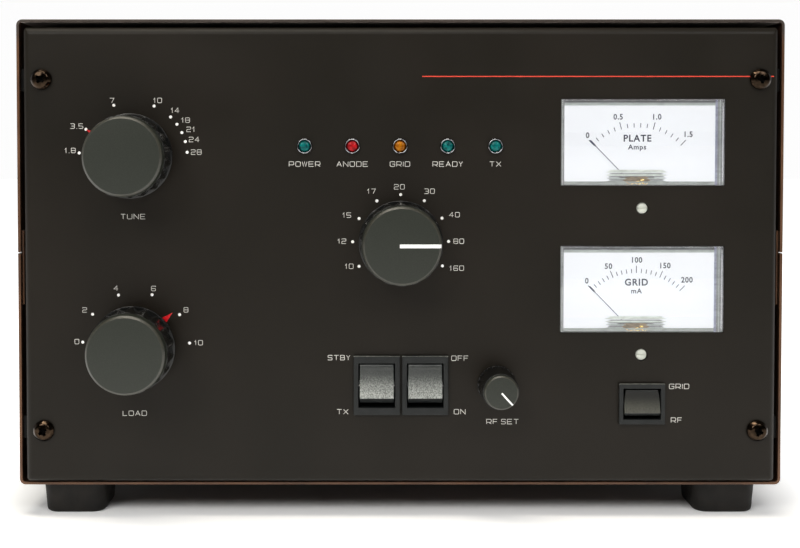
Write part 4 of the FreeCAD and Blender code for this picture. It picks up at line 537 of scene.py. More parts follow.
cameraPlan = {
    "standsAt": (-21.3, 200.0),  # mm: sideways and up
    "fromPanel": 620.0,
    "lens": 52.59,
    "pitch": 1.617,  # degrees below level
    "shift": (0.0493, -0.12),
}
standX, standZ = cameraPlan["standsAt"]
camera = linked("camera", bpy.data.cameras.new("camera"))
camera.data.sensor_width = 36
camera.data.lens = cameraPlan["lens"]
camera.data.shift_x, camera.data.shift_y = cameraPlan["shift"]
camera.location = Vector((standX, panelFace - cameraPlan["fromPanel"], standZ)) * mm
camera.rotation_euler = (radians(90 - cameraPlan["pitch"]), 0, 0)
scene.camera = camera
scene.view_settings.view_transform = "Standard"

# place and aim of each soft box, its sides in metres, watts and colour
atPanel = (0, -0.19, 0.14)
softboxes = {
    "leftBank": ((-0.75, -1.35, 1.05), atPanel, (0.7, 0.7), 11.5, "#fffdf8"),
    "rightBank": ((0.8, -1.3, 1.1), atPanel, (0.6, 0.6), 6.5, "#ffffff"),
    "highFill": ((0.05, -1.45, 1.3), atPanel, (0.45, 0.4), 3.5, "#ffffff"),
    "topStrip": ((-0.2, -0.45, 1.35), (-0.1, -0.2, 0.14), (1.0, 0.22), 10, "#fff8ea"),
    "backLight": ((0.3, 1.6, 1.1), (0, 0.1, 0.15), (1.4, 0.9), 9, "#ffffff"),
}
for name, (place, aim, size, power, colour) in softboxes.items():
    lamp = bpy.data.lights.new(name, "AREA")
    lamp.shape, lamp.size, lamp.size_y = "RECTANGLE", *size
    lamp.energy, lamp.color = power, srgb(colour)[:3]
    thing = linked(name, lamp)
    thing.location = place
    thing.rotation_euler = (Vector(aim) - Vector(place)).to_track_quat("-Z", "Y").to_euler()

world = bpy.data.worlds.new("studio")
world.use_nodes = True
scene.world = world
tree = world.node_tree
tree.nodes.clear()
# a pale backdrop behind and beside the object, darker overhead, and a dim room in front of it
towards = addNode(tree, "TexCoord", out="Generated")
depth, height = (addNode(tree, "SeparateXYZ", None, {0: towards}, axis) for axis in (1, 2))
limits = {**eased, "From Min": -0.4, "From Max": 0.3, "To Min": 0.04, "To Max": 0.42}
backdrop = addNode(tree, "MapRange", limits, {"Value": depth})
limits = {**eased, "From Min": 0.15, "From Max": 0.6, "To Min": 1.0, "To Max": 0.3}
overhead = addNode(tree, "MapRange", limits, {"Value": height})
strength = addNode(tree, "Math", {"operation": "MULTIPLY"}, {0: backdrop, 1: overhead})
felt = addNode(tree, "Background", {"Color": srgb("#ffffff")}, {"Strength": strength})
seen = addNode(tree, "Background", {"Color": srgb("#fdfdfd"), "Strength": 1.0})
straight = addNode(tree, "LightPath", out="Is Camera Ray")
either = addNode(tree, "MixShader", None, {0: straight, 1: felt, 2: seen})
addNode(tree, "OutputWorld", None, {"Surface": either})

floorMesh = bpy.data.meshes.new("floor")
half = 6.0
corners = [(-half, -half, 0), (half, -half, 0), (half, half, 0), (-half, half, 0)]
floorMesh.from_pydata(corners, [], [(0, 1, 2, 3)])
floorMesh.materials.append(surfaces["mattPaper"])
floor = linked("floor", floorMesh)
print("camera, light and floor set")


# case: covers, panels, feet and screws

caseLook = {"sheetEdge": 0.35, "panelEdge": 0.25, "rearEdge": 0.3, "lipDeep": 3.5, "roofDeep": 4.0}
# how squarely a face has to look forwards or down to be the cut edge or the underside
forwards, downwards = -0.6, -0.9
covers = {"caseTop": ("top_cover", "paintedEdgeHighlightGreyRoof"), "caseBottom": ("bottom_cover", "paintedEdgeHighlight")}
for name, (node, edge) in covers.items():
    finish = ["enamelledSteel", edge, "paintedLightLipEnamel"]
    cover = softened(name, node, finish, caseLook["sheetEdge"], "case_paint")
    lip, roof = low(node).y + caseLook["lipDeep"], high("top_cover").z - caseLook["roofDeep"]
    for face in cover.data.polygons:
        spot, normal = face.center / mm, face.normal
        # the cut front edge takes the painted edge highlight
        if spot.y < lip and normal.y < forwards:
            face.material_index = 1
        # the underside of the roof's front lip takes the painted light
        elif spot.z > roof and normal.z < downwards:
            face.material_index = 2
softened("panelTray", "front_panel", "paintedAluminium", caseLook["panelEdge"], "panel_paint")
softened("panelRear", "rear_panel", "powderCoatedSteel", caseLook["rearEdge"], "rear_paint")

footLook = {"taper": 4.8, "corner": 8.5, "edge": 2.2, "recess": 8.0, "recessDeep": 9.0}  # degrees and mm


def roundedSquare(half, corner, steps=6):
    points = []
    for quarter in range(4):
        x = (half - corner) * (1 if quarter in (0, 3) else -1)
        y = (half - corner) * (1 if quarter < 2 else -1)
        for step in range(steps + 1):
            angle = radians(90 * (quarter + step / steps))
            points.append((x + corner * cos(angle), y + corner * sin(angle)))
    return points


def lofted(rows):
    # joins outlines of equally many points, each at its own height, and closes both ends
    mesh = bmesh.new()
    rings = [[mesh.verts.new((x, y, height)) for x, y in outline] for height, outline in rows]
    for a, b in zip(rings, rings[1:]):
        for i in range(len(a)):
            j = (i + 1) % len(a)
            mesh.faces.new((a[i], a[j], b[j], b[i]))
    mesh.faces.new(rings[0])
    mesh.faces.new(rings[-1])
    return mesh


def footMesh(wide, tall):
    # local Z points down, from the case to the floor
    lean, edge, bore = tan(radians(footLook["taper"])), footLook["edge"], footLook["recess"]
    insets = [(height, height * lean) for height in (0, tall - edge)]
    for angle in (radians(90 * step / 6) for step in range(1, 7)):
        inset = (tall - edge) * lean + edge * (1 - cos(angle))
        insets.append((tall - edge + edge * sin(angle), inset))
    corner, deep = footLook["corner"], tall - footLook["recessDeep"]
    rows = [(height, roundedSquare(wide / 2 - inset, corner - inset)) for height, inset in insets]
    well = [(0, deep), (bore, deep), (bore, tall - 0.4), (bore + 0.8, tall + 1), (0, tall + 1)]
    return carved(lofted(rows), [spun(filleted(well, 0.8, 4), 48)])


feet = []
for lowest, highest in looseParts("feet"):
    centre, size = (lowest + highest) / 2, highest - lowest
    feet.append(moved(footMesh(size.x, size.z), facing(centre.x, centre.y, highest.z, down)))
piece("rubberFeet", joined(feet), "mouldedRubber", replaced=("feet",), slot="foot_rubber")


def crossHead(radius, tall, reach, shank):
    # pan head with a cross recess, local Z out of the panel from its seat; the shank goes the other way
    crown = [(radius, tall * 0.35, tall * 0.3), (radius * 0.72, tall * 0.86, tall * 0.5)]
    profile = [(0, -reach), (shank, -reach), (shank, 0), (radius, 0), *crown]
    profile += [(radius * 0.3, tall * 0.985), (0, tall)]
    cutters = []
    for angle in (0, 90):
        arm = block(radius * 1.04, radius * 0.3, tall)
        for vertex in arm.verts:
            if vertex.co.z < tall / 2:
                vertex.co.x *= 0.5
                vertex.co.y *= 0.75
        cutters.append(moved(arm, shift(0, 0, tall * 0.3) @ turn(angle)))
    well = spun([(0, 0), (radius * 0.16, 0), (radius * 0.36, tall), (0, tall)], 16)
    cutters.append(moved(well, shift(0, 0, tall * 0.15)))
    screw = carved(spun(filleted(profile, 0.15, 5), 64), cutters)
    # faces deep inside the cross recess take the painted shade
    for face in screw.faces:
        spot = face.calc_center_median()
        face.material_index = int(0 < spot.z < tall * 0.82 and spot.xy.length < radius * 0.6)
    return screw


# head: radius, height, length of the shank and its radius; turns in degrees
panelScrew = {"head": (5.6, 3.6, 20.0, 2.5), "long": 25.6, "firstTurn": 35, "nextTurn": 19}
caseScrew = {"head": (3.8, 1.8, 5.5, 2.0), "long": 7.8, "firstTurn": 12, "nextTurn": 23}
for name, node, material, slot, heads in (
    ("panelScrews", "panel_screws", "bronzePlatedSteel", "bronze_screw", panelScrew),
    ("caseScrews", "case_screws", "blackOxideSteel", "black_screw", caseScrew),
):
    model, made = crossHead(*heads["head"]), []
    for i, (lowest, highest) in enumerate(looseParts(node)):
        size, centre = highest - lowest, (lowest + highest) / 2
        axis = min(range(3), key=lambda a: abs(size[a] - heads["long"]))
        away = Vector((0, 0, 0))
        away[axis] = 1 if axis < 2 and centre[axis] > 0 else -1
        seat = centre.copy()
        seat[axis] = (highest[axis] if away[axis] > 0 else lowest[axis]) - away[axis] * heads["head"][1]
        spin = turn(heads["firstTurn"] + heads["nextTurn"] * i)
        made.append(moved(model.copy(), facing(*seat, away) @ spin))
    piece(name, joined(made), [material, "paintedRecessShade"], replaced=(node,), slot=slot, sharp=30)
print("case made")


# knobs and pointers

knobLook = {
    "flangeThick": 2.0, "baseRadius": 21.9, "frontRadius": 21.2, "capRadius": 20.3, "skirtRadius": 20.85,
    "skirtLong": 5.2, "fluteDeep": 1.25, "fluteTool": 4.4, "flutes": 18, "capBevel": 1.1, "soft": 0.35,
    "bore": 3.2,
}
smallKnobLook = {
    "flangeThick": 1.6, "baseRadius": 10.2, "frontRadius": 9.4, "capRadius": 8.8, "skirtRadius": 9.1,
    "skirtLong": 2.8, "fluteDeep": 0.55, "fluteTool": 1.3, "flutes": 20, "capBevel": 0.7, "soft": 0.25,
    "bore": 3.1, "frontGap": 1.0, "shaft": 3,
}


def flutedBody(look, flangeRadius, tall):
    # from the flange at height 0 to the front ring round the cap, whose face is as high as tall
    def groove(angle, height, radius):
        if height < look["flangeThick"] - 0.01 or radius < look["frontRadius"] - look["soft"] * 1.5:
            return 0
        pitch = tau / look["flutes"]
        offset = (angle + pitch / 2) % pitch - pitch / 2
        tool = look["fluteTool"]
        centre = look["baseRadius"] - look["fluteDeep"] + tool
        across = centre * sin(offset)
        if abs(across) >= tool:
            return 0
        return min(0, centre * cos(offset) - sqrt(tool**2 - across**2) - radius)

    inner, thick, tall = look["bore"], look["flangeThick"], tall - look["skirtLong"]
    profile = [(inner, 0), (flangeRadius, 0), (flangeRadius, thick * 0.95), (look["baseRadius"], thick, 0)]
    profile += [(look["frontRadius"], tall), (inner, tall), (inner, 0, 0)]
    return spun(filleted(profile, look["soft"], 4), look["flutes"] * 22, groove)


def capMesh(look, top):
    # a flat face, a bright bevel and a short skirt in front of the flutes
    radius, bevel, bottom = look["capRadius"], look["capBevel"], top - look["skirtLong"]
    profile = [(0, bottom), (look["skirtRadius"], bottom), (radius, top - bevel), (radius - bevel, top)]
    cap = spun(filleted(profile + [(0, top)], 0.2, 3), 144)
    for face in cap.faces:
        spot = face.calc_center_median()
        atBevel = spot.z > top - bevel and spot.xy.length > radius - bevel - 0.1
        face.material_index = int(atBevel and face.normal.z < 0.97)
    return cap


def indexLine(name, knob, face, body, look, line):
    # white-filled line from the middle of the cap's face to its edge that runs down over the bevel
    thick, bevel, start = 0.05, look["capBevel"], line["start"]
    inner, outer = look["capRadius"] - bevel, look["capRadius"] - 0.15
    side = [(start, -0.3), (start, thick), (inner, thick), (outer, -bevel * 0.8), (outer, -bevel)]
    shape = prism(side + [(inner - 0.4, -0.3)], line["wide"])
    upright = Matrix(((1, 0, 0, 0), (0, 0, 1, -line["wide"] / 2), (0, 1, 0, 0), (0, 0, 0, 1)))
    place = facing(middle(knob).x, face, middle(knob).z) @ turn(90 - line["angle"])
    piece(name, moved(shape, upright), "filledWhite", body, place, slot="dial_white")


capFinish = ["mouldedNylon", "turnedNylon"]
for control, body in (("tune", "tune_knob_group"), ("load", "load_knob_group"), ("band", "band_control")):
    knob, cap = control + "_knob", control + "_knob_cap"
    centre, back, tip = middle(knob), high(knob).y, low(cap).y
    place = facing(centre.x, back, centre.z)
    tall = back - tip
    shell = flutedBody(knobLook, halfWide(knob), tall)
    piece(control + "KnobBody", shell, "mouldedPhenolic", body, place, (knob,), "knob_black")
    piece(control + "KnobCap", capMesh(knobLook, tall), capFinish, body, place, (cap,), "cap_grey", sharp=28)
bandLine = {"wide": 1.9, "start": -1.2, "angle": 90}
indexLine("bandIndexLine", "band_knob", low("band_knob_cap").y, "band_control", knobLook, bandLine)

rfKnob, rfControl = "rf_set_knob", "rf_set_control"
centre, back, tip = middle(rfKnob), panelFace - smallKnobLook["frontGap"], low(rfKnob).y
tall, shaftLong = back - tip, high(rfKnob).y - back
place = facing(centre.x, back, centre.z)
shell, radius = flutedBody(smallKnobLook, halfWide(rfKnob), tall), smallKnobLook["shaft"]
shaft = spun([(0, -shaftLong), (radius, -shaftLong), (radius, tall / 2), (0, tall / 2)], 32)
piece("rfKnobBody", joined([shell, shaft]), "mouldedPhenolic", rfControl, place, (rfKnob,), "knob_black")
piece("rfKnobCap", capMesh(smallKnobLook, tall), capFinish, rfControl, place, slot="cap_grey", sharp=28)
rfLine = {"wide": 0.9, "start": 0.1, "angle": 137.5}
indexLine("rfIndexLine", rfKnob, tip, rfControl, smallKnobLook, rfLine)
print("knobs made")


# panel lamps

lampLook = {
    "bezel": 4.1, "barrel": 3.7, "bore": 3.15, "proud": 1.65, "lens": 3.08, "lensProud": 2.1, "rise": 1.7,
    "deep": 7.0,
}
lampCentres = [(a + b) / 2 for a, b in looseParts("lamp_bezels")]
bezels = []
for centre in lampCentres:
    outer, bore, deep = lampLook["bezel"], lampLook["bore"], lampLook["deep"]
    profile = [(bore, -deep), (lampLook["barrel"], -deep), (lampLook["barrel"], 0), (outer, 0, 0.1)]
    # a half-round rim
    for angle in (pi * step / 8 for step in range(9)):
        reach = (outer + bore) / 2 + (outer - bore) / 2 * cos(angle)
        profile.append((reach, lampLook["proud"] * (0.45 + 0.55 * sin(angle)), 0))
    profile.append((bore, -deep, 0))
    bezels.append(moved(spun(filleted(profile, 0.1, 5), 64), facing(centre.x, panelFace, centre.z)))
piece("lampBezels", joined(bezels), "chromedBrass", replaced=("lamp_bezels",), slot="chrome_bezel")


def lensMesh(centre):
    # a barrel with a low dome cut into flat facets like a gem
    radius, top, rise = lampLook["lens"], lampLook["lensProud"], lampLook["rise"]
    rows = [(0, -lampLook["deep"]), (radius, -lampLook["deep"]), (radius, top - rise)]
    rows += [(radius * 0.8, top - rise * 0.42), (radius * 0.42, top - rise * 0.1), (0, top)]
    lens = spun(rows, 12)
    # the steep rim takes the darker copy: painted shade
    for face in lens.faces:
        face.material_index = int(face.calc_center_median().xy.length > radius * 0.72)
    return moved(lens, facing(centre.x, panelFace, centre.z))


for name, node, material, slot in (
    ("greenLenses", "green_lamps", "greenAcrylic", "lens_green"),
    ("anodeLens", "anode_lamp", "redAcrylic", "lens_red"),
    ("gridLens", "grid_lamp", "amberAcrylic", "lens_amber"),
):
    lenses = [lensMesh((a + b) / 2) for a, b in looseParts(node)]
    piece(name, joined(lenses), [material, material + "Rim"], replaced=(node,), slot=slot, sharp=4)
print("lamps made")


# lettering: a plain squared stroke alphabet on 8 columns and 6 rows, where ' rounds a corner

strokes = {
    "A": "00 46 80;22 62", "B": "03 63 76' 06 00 70' 73' 63", "D": "06 00 80' 86' 06",
    "E": "80 00 06 86;03 73", "F": "00 06 76;03 63", "G": "85 86' 06' 00' 80' 83 43", "I": "00 06",
    "L": "06 00 70", "N": "00 06 80 86",
    "O": "46 86' 80' 00' 06' 46", "P": "00 06 86' 82' 02", "R": "00 06 86' 82' 02;42 80",
    "S": "75 76' 06' 03' 73' 70' 00' 01", "T": "06 86;46 40", "U": "06 00' 80' 86", "W": "06 20 46 60 86",
    "X": "00 86;06 80", "Y": "06 33 66;33 30", ".": "00 10", "0": "36 76' 70' 00' 06' 36", "1": "04 26 20",
    "2": "05 06' 76' 73' 03' 00 70", "3": "06 76' 70' 00;23 73", "4": "50 56 02 72",
    "5": "76 06 03 73' 70' 00", "6": "75 76' 06' 00' 70' 73' 03", "7": "06 76 30",
    "8": "03 73;36 76' 70' 00' 06' 36", "9": "00 70' 76' 06' 03' 73",
}
lettering = {
    "tall": 2.8, "line": 0.29, "column": 0.31, "gap": 1.0, "afterOne": 0.45, "corner": 0.62, "thick": 0.04,
    "spaceColumns": 4, "dot": 0.8, "underLamp": 9.5,
}


def ribbon(mesh, path, width):
    # a flat band along the path, mitred at its corners
    rows = []
    for i, here in enumerate(path):
        ahead = (path[min(i + 1, len(path) - 1)] - here).normalized() if i + 1 < len(path) else None
        behind = (here - path[i - 1]).normalized() if i else None
        along = ((ahead or behind) + (behind or ahead)).normalized()
        side = Vector((-along.y, along.x))
        square = Vector((-(ahead or behind).y, (ahead or behind).x))
        reach = side * (width / 2 / max(0.45, side.dot(square)))
        rows.append([mesh.verts.new((*spot, 0)) for spot in (here + reach, here - reach)])
    for a, b in zip(rows, rows[1:]):
        mesh.faces.new((a[0], a[1], b[1], b[0]))


def strokePaths(letter):
    row = (lettering["tall"] - lettering["line"]) / 6
    for stroke in strokes[letter].split(";"):
        points = []
        for mark in stroke.split():
            corner = lettering["corner"] if mark.endswith("'") else 0
            points.append((int(mark[0]) * lettering["column"], int(mark[1]) * row, corner))
        yield points


def word(mesh, text, x, z):
    # one word or number centred on x and z
    letters, pen = [], 0.0
    for letter in text:
        if letter == " ":
            pen += lettering["spaceColumns"] * lettering["column"]
            continue
        paths = list(strokePaths(letter))
        letters.append((pen, paths))
        wide = max(p[0] for path in paths for p in path)
        pen += wide + lettering["gap"] + lettering["afterOne"] * (letter == "1")
    left, bottom = x - (pen - lettering["gap"]) / 2, z - (lettering["tall"] - lettering["line"]) / 2
    for pen, paths in letters:
        for path in paths:
            points = [(p[0] + pen + left, p[1] + bottom, p[2]) for p in path]
            ribbon(mesh, filleted(points, 0, 4), lettering["line"])


def dot(mesh, x, z, radius, steps=24):
    angles = [tau * i / steps for i in range(steps)]
    mesh.faces.new([mesh.verts.new((x + radius * cos(a), z + radius * sin(a), 0)) for a in angles])


def printed(name, mesh, look, y, slot, thick):
    # gives flat artwork the thickness of its ink and lays it on the surface that faces forwards at y
    piece(name, raised(mesh, thick), look, "chassis", facing(0, y, 0), slot=slot)


# mm from the knob's middle to the dots, then each mark's text, its angle clockwise from the top, and
# where the text stands from its dot, right and up
dialMarks = {
    "tune": (28.7, [
        ("1.8", -86.8, -4.8, 1.3), ("3.5", -60.5, -4.9, 1.7), ("7", -20.7, -1.0, 2.5),
        ("10", 23.0, 1.9, 3.0), ("14", 44.0, 2.4, 3.5), ("18", 54.2, 4.6, 2.2),
        ("21", 64.4, 4.7, 1.7), ("24", 74.6, 4.7, 1.1), ("28", 86.1, 4.8, 0.1),
    ]),
    "load": (28.5, [
        ("0", -86.4, -3.1, 0.3), ("2", -54.1, -4.2, 2.3), ("4", -18.9, -1.3, 3.7),
        ("6", 17.6, 0.8, 3.3), ("8", 54.7, 3.4, 2.6), ("10", 87.4, 4.8, 0.2),
    ]),
    "band": (25.5, [
        ("10", -119.8, -5.2, 0.0), ("12", -89.1, -5.7, 0.3), ("15", -60.0, -6.5, 1.8),
        ("17", -29.7, -2.9, 5.1), ("20", 0.0, -0.7, 4.1), ("30", 29.5, 2.7, 5.1),
        ("40", 59.4, 6.6, 1.8), ("80", 88.7, 5.4, 0.1), ("160", 119.3, 7.6, -1.2),
    ]),
}
legends, dots = bmesh.new(), bmesh.new()
for control, (radius, marks) in dialMarks.items():
    centre = middle(control + "_knob")
    for text, angle, right, up in marks:
        x = centre.x + radius * sin(radians(angle))
        z = centre.z + radius * cos(radians(angle))
        dot(dots, x, z, lettering["dot"])
        word(legends, text, x + right, z + up)
for text, centre in zip(("POWER", "ANODE", "GRID", "READY", "TX"), sorted(lampCentres, key=lambda c: c.x)):
    word(legends, text, centre.x, centre.z - lettering["underLamp"])
# word, the node that it belongs to, right and up from the node's middle
for text, node, right, up in (
    ("TUNE", "tune_knob", -0.3, -32.2),
    ("LOAD", "load_knob", -0.9, -36.3),
    ("STBY", "standby_switch", -20.1, 14.6),
    ("TX", "standby_switch", -18.2, -14.4),
    ("OFF", "power_switch", 18.5, 14.3),
    ("ON", "power_switch", 18.5, -14.4),
    ("RF SET", "rf_set_knob", 3.3, -20.1),
    ("GRID", "selector_switch", 20.1, 9.1),
    ("RF", "selector_switch", 18.8, -9.0),
):
    word(legends, text, middle(node).x + right, middle(node).z + up)
printed("panelLegends", legends, "thinInk", panelFace, "dial_white", lettering["thick"])
printed("panelDots", dots, "whiteInk", panelFace, "dial_white", lettering["thick"])

stripeLook = {"left": 11.4, "endGap": 2.9, "z": 236.3, "tall": 0.52}
stripeRight = high("front_panel").x - stripeLook["endGap"]
stripe = block(stripeRight - stripeLook["left"], stripeLook["tall"], lettering["thick"])
place = facing((stripeRight + stripeLook["left"]) / 2, panelFace, stripeLook["z"])
piece("redStripe", stripe, "redInk", "chassis", place, slot="pointer_red")
print("legends printed")


# meters

meterLook = {
    "tickInner": 32.6, "minorOuter": 34.8, "majorOuter": 36.4, "tickWide": 0.38, "sweep": 44.5,
    "numberRadius": 38.8, "numberTall": 2.9, "titleUp": 27.1, "titleTall": 3.6, "unitUp": 22.5,
    "unitTall": 2.6, "inkThick": 0.03,
    "numberType": (0.95, 1.12), "titleType": (0.98, 1.15), "unitType": (1.05, 1.15),  # width and spacing
    "endNumbers": 0.955,  # the first and last number stand a little nearer to the middle than their ticks
}
meterScales = {
    "plate": {"numbers": "0 0.5 1.0 1.5".split(), "minors": 5, "title": "PLATE", "unit": "Amps", "lift": 0.0},
    "grid": {"numbers": "0 50 100 150 200".split(), "minors": 5, "title": "GRID", "unit": "mA", "lift": 0.8},
}
typeLook = {"capital": 0.73, "boldness": 0.022}  # for type of size 1


def typeset(mesh, text, x, y, tall, widen, spacing):
    # plain upright type, centred, as tall as a capital
    curve = bpy.data.curves.new("type", "FONT")
    curve.body, curve.align_x, curve.space_character = text, "CENTER", spacing
    curve.resolution_u, curve.offset = 4, typeLook["boldness"]
    thing = linked("type", curve)
    data = evaluated(thing)
    bpy.data.objects.remove(thing)
    scale = tall / typeLook["capital"]
    data.transform(shift(x, y - tall / 2) @ Matrix.Diagonal((scale * widen, scale, 1, 1)))
    mesh.from_mesh(data)
    bpy.data.meshes.remove(data)


def around(pivot, radius, angle):
    angle = radians(angle)
    return Vector((pivot.x + radius * sin(angle), pivot.y + radius * cos(angle)))


for meter, scale in meterScales.items():
    pin = pivotOf(meter + "_needle_swing")
    pivot = Vector((pin.x, pin.z))
    art = bmesh.new()
    count = (len(scale["numbers"]) - 1) * scale["minors"]
    for i in range(count + 1):
        angle = -meterLook["sweep"] + 2 * meterLook["sweep"] * i / count
        major = i % scale["minors"] == 0
        outer = meterLook["majorOuter"] if major else meterLook["minorOuter"]
        ends = [around(pivot, radius, angle) for radius in (meterLook["tickInner"], outer)]
        ribbon(art, ends, meterLook["tickWide"])
        if major:
            text = scale["numbers"][i // scale["minors"]]
            turned = angle * (meterLook["endNumbers"] if i in (0, count) else 1)
            spot = around(pivot, meterLook["numberRadius"] + 0.35 * (len(text) - 1), turned)
            typeset(art, text, spot.x, spot.y, meterLook["numberTall"], *meterLook["numberType"])
    pivot.y += scale["lift"]
    for line in ("title", "unit"):
        tall, up = meterLook[line + "Tall"], pivot.y + meterLook[line + "Up"]
        typeset(art, scale[line], pivot.x, up, tall, *meterLook[line + "Type"])
    dialFace = low(meter + "_meter_dial").y
    printed(meter + "DialPrint", art, "dialInk", dialFace, "needle_black", meterLook["inkThick"])

# painted shade and painted reflections of the window's edges, as bands laid in front of the dial: side, from
# and to in mm from the window's edge, tone
edgeBands = [
    ("left", 0.0, 1.05, "paleEdge"), ("left", 1.05, 1.6, "greyEdge"),
    ("top", 0.0, 0.5, "darkEdge"), ("top", 0.5, 1.05, "greyEdge"), ("top", 1.05, 1.6, "darkEdge"),
    ("top", 1.6, 2.1, "greyEdge"), ("top", 2.1, 3.4, "paleEdge"),
    ("right", 0.0, 0.5, "darkEdge"), ("right", 1.05, 2.1, "greyEdge"), ("right", 2.1, 2.6, "paleEdge"),
    ("right", 2.6, 3.7, "greyEdge"), ("right", 3.7, 4.9, "lavenderEdge"),
    ("bottom", 0.0, 0.5, "darkEdge"), ("bottom", 0.5, 2.2, "paleEdge"),
]
# streaks that paint the frosted part over the movement, with its painted shade and glow: length, height above
# the window's edge, thickness, tone
humpStreaks = [
    (30, 8.0, 0.9, "milkyEdge"), (33, 7.2, 0.8, "milkyEdge"), (29, 6.3, 0.6, "greyEdge"),
    (33, 5.6, 0.8, "milkyEdge"), (30, 4.9, 0.6, "greyEdge"), (20, 4.4, 0.5, "darkEdge"),
    (32, 4.0, 0.8, "paleEdge"), (13, 4.2, 1.2, "blurredCopper"), (30, 3.1, 0.8, "greyEdge"),
    (15, 2.9, 1.5, "blurredCopper"), (32, 2.2, 0.9, "paleEdge"), (31, 1.3, 0.8, "greyEdge"),
    (19, 0.8, 1.0, "darkEdge"),
]
# painted glints, flakes that glow gold: right of the middle, up, wide, high, turn in radians
paintedGlintFlakes = [
    (-4.6, 1.3, 2.4, 0.4, -0.6), (-2.4, 0.9, 1.6, 0.5, 0.3), (-0.6, 1.1, 1.3, 0.4, -0.3),
    (1.2, 0.9, 1.9, 0.6, 0.1), (3.4, 1.2, 1.5, 0.7, -0.4), (5.2, 0.9, 1.8, 0.4, 0.5),
    (0.6, 2.2, 1.6, 0.4, 0.2), (3.0, 3.0, 1.8, 0.8, 0.0),
]
needleLook = {
    "length": 36.4, "bladeFrom": 31.8, "bladeWide": 0.85, "wireWide": 0.34, "thick": 0.3, "rest": -44.5
}
# how far the pieces in the window stand behind its front, and how far left of the pin the frosted part is
windowLook = {"bands": 2.6, "springs": 2.8, "streaks": 3.2, "humpLeft": 1.5, "wall": 1.6, "hump": (34, 6.4)}


def streak(long, thick, deep):
    # a flat strip whose ends taper away
    x, y, taper = long / 2, thick / 2, 1.6
    return prism([(-x, 0), (-x + taper, -y), (x - taper, -y), (x, 0), (x - taper, y), (-x + taper, y)], deep)


def bandStrip(side, start, end, wide, tall):
    inset, upright = (start + end) / 2, side in ("left", "right")
    strip = block(end - start, tall, 0.1) if upright else block(wide, end - start, 0.1)
    x = {"left": -wide / 2 + inset, "right": wide / 2 - inset}.get(side, 0)
    y = {"bottom": -tall / 2 + inset, "top": tall / 2 - inset}.get(side, 0)
    return moved(strip, shift(x, y, 0.15 * upright))


for meter in meterScales:
    node, window, adjuster = meter + "_meter_needle", meter + "_meter_window", meter + "_meter_adjuster"
    pin = pivotOf(meter + "_needle_swing")
    near, far = low(node).y, high(node).y
    wire, blade = needleLook["wireWide"] / 2, needleLook["bladeWide"] / 2
    reach, root = needleLook["length"], needleLook["bladeFrom"]
    rightSide = [(wire, -5), (wire, root), (blade, root + 0.8), (blade, reach - 0.5), (wire, reach)]
    outline = [(-wire, -5)] + rightSide + [(-x, y) for x, y in rightSide[:0:-1]]
    strip = prism(outline, needleLook["thick"])
    hub = spun(filleted([(0, -0.9), (3, -0.9), (3, 0.2), (1.2, 0.35), (0, 0.35)], 0.2, 3), 40)
    staff = spun([(0, near - far + 0.6), (1.2, near - far + 0.6), (1.2, -0.5), (0, -0.5)], 24)
    place = facing(pin.x, near + 0.4, pin.z) @ turn(-needleLook["rest"])
    shape = joined([strip, hub, staff])
    piece(meter + "Needle", shape, "lacqueredAluminium", meter + "_needle", place, (node,), "needle_black")
    # thick window tray without its hump, then the frosted hump and what shows through it, drawn as streaks of
    # painted shade, glow and glints
    a, b, centre = low(window), high(window), middle(window)
    wide, deep, tall = b - a
    wall = 2 * windowLook["wall"]
    hollow = moved(block(wide - wall, tall - wall, deep), shift(0, 0, -2.0))
    opening = moved(block(*windowLook["hump"], deep), shift(0, -tall / 2, -4.0))
    tray = carved(block(wide, tall, deep, 0.5), [hollow, opening])
    place = facing(centre.x, b.y, centre.z)
    piece(meter + "Window", tray, "castAcrylic", "chassis", place, (window,), "window_clear")
    for tone in ("darkEdge", "greyEdge", "paleEdge", "lavenderEdge"):
        bands = [bandStrip(*band, wide, tall) for *band, bandTone in edgeBands if bandTone == tone]
        place = facing(centre.x, a.y + windowLook["bands"], centre.z)
        piece(meter + tone.capitalize(), joined(bands), tone, "chassis", place, slot="window_clear")
    left = pin.x - windowLook["humpLeft"]
    for tone in ("darkEdge", "greyEdge", "paleEdge", "milkyEdge", "blurredCopper"):
        copper = tone == "blurredCopper"
        rows = [
            moved(streak(long, thick, 0.12), shift(0, up, 0.2 * copper))
            for long, up, thick, streakTone in humpStreaks
            if streakTone == tone
        ]
        place = facing(left, a.y + windowLook["streaks"], a.z)
        slot = "coil_copper" if copper else "window_clear"
        piece(meter + "Hump" + tone.capitalize(), joined(rows), tone, "chassis", place, slot=slot)
    flakes = [
        moved(block(wide, tall, 0.3, 0.1), shift(x, y) @ Matrix.Rotation(angle, 4, "Z"))
        for x, y, wide, tall, angle in paintedGlintFlakes
    ]
    place = facing(left, a.y + windowLook["springs"], a.z)
    piece(meter + "SpringGlints", joined(flakes), "gildedBronze", "chassis", place, slot="drive_brass")
    # zero adjuster, recessed in the panel, with a fine screwdriver slot
    spot, radius, deep = middle(adjuster), halfWide(adjuster), high(adjuster).y - low(adjuster).y
    profile = [(0, -deep), (1.4, -deep), (1.4, -1.6), (radius, -1.6), (radius, 0, 0.5), (0, 0)]
    groove = moved(block(radius * 3, 0.5, 2), shift(0, 0, -0.45))
    head = carved(spun(filleted(profile, 0.1, 5), 48), [groove])
    place = facing(spot.x, low(adjuster).y, spot.z)
    piece(meter + "Adjuster", head, "mouldedAcetal", meter + "_zero", place, (adjuster,), "adjuster_grey")
print("meters made")


# rocker switches

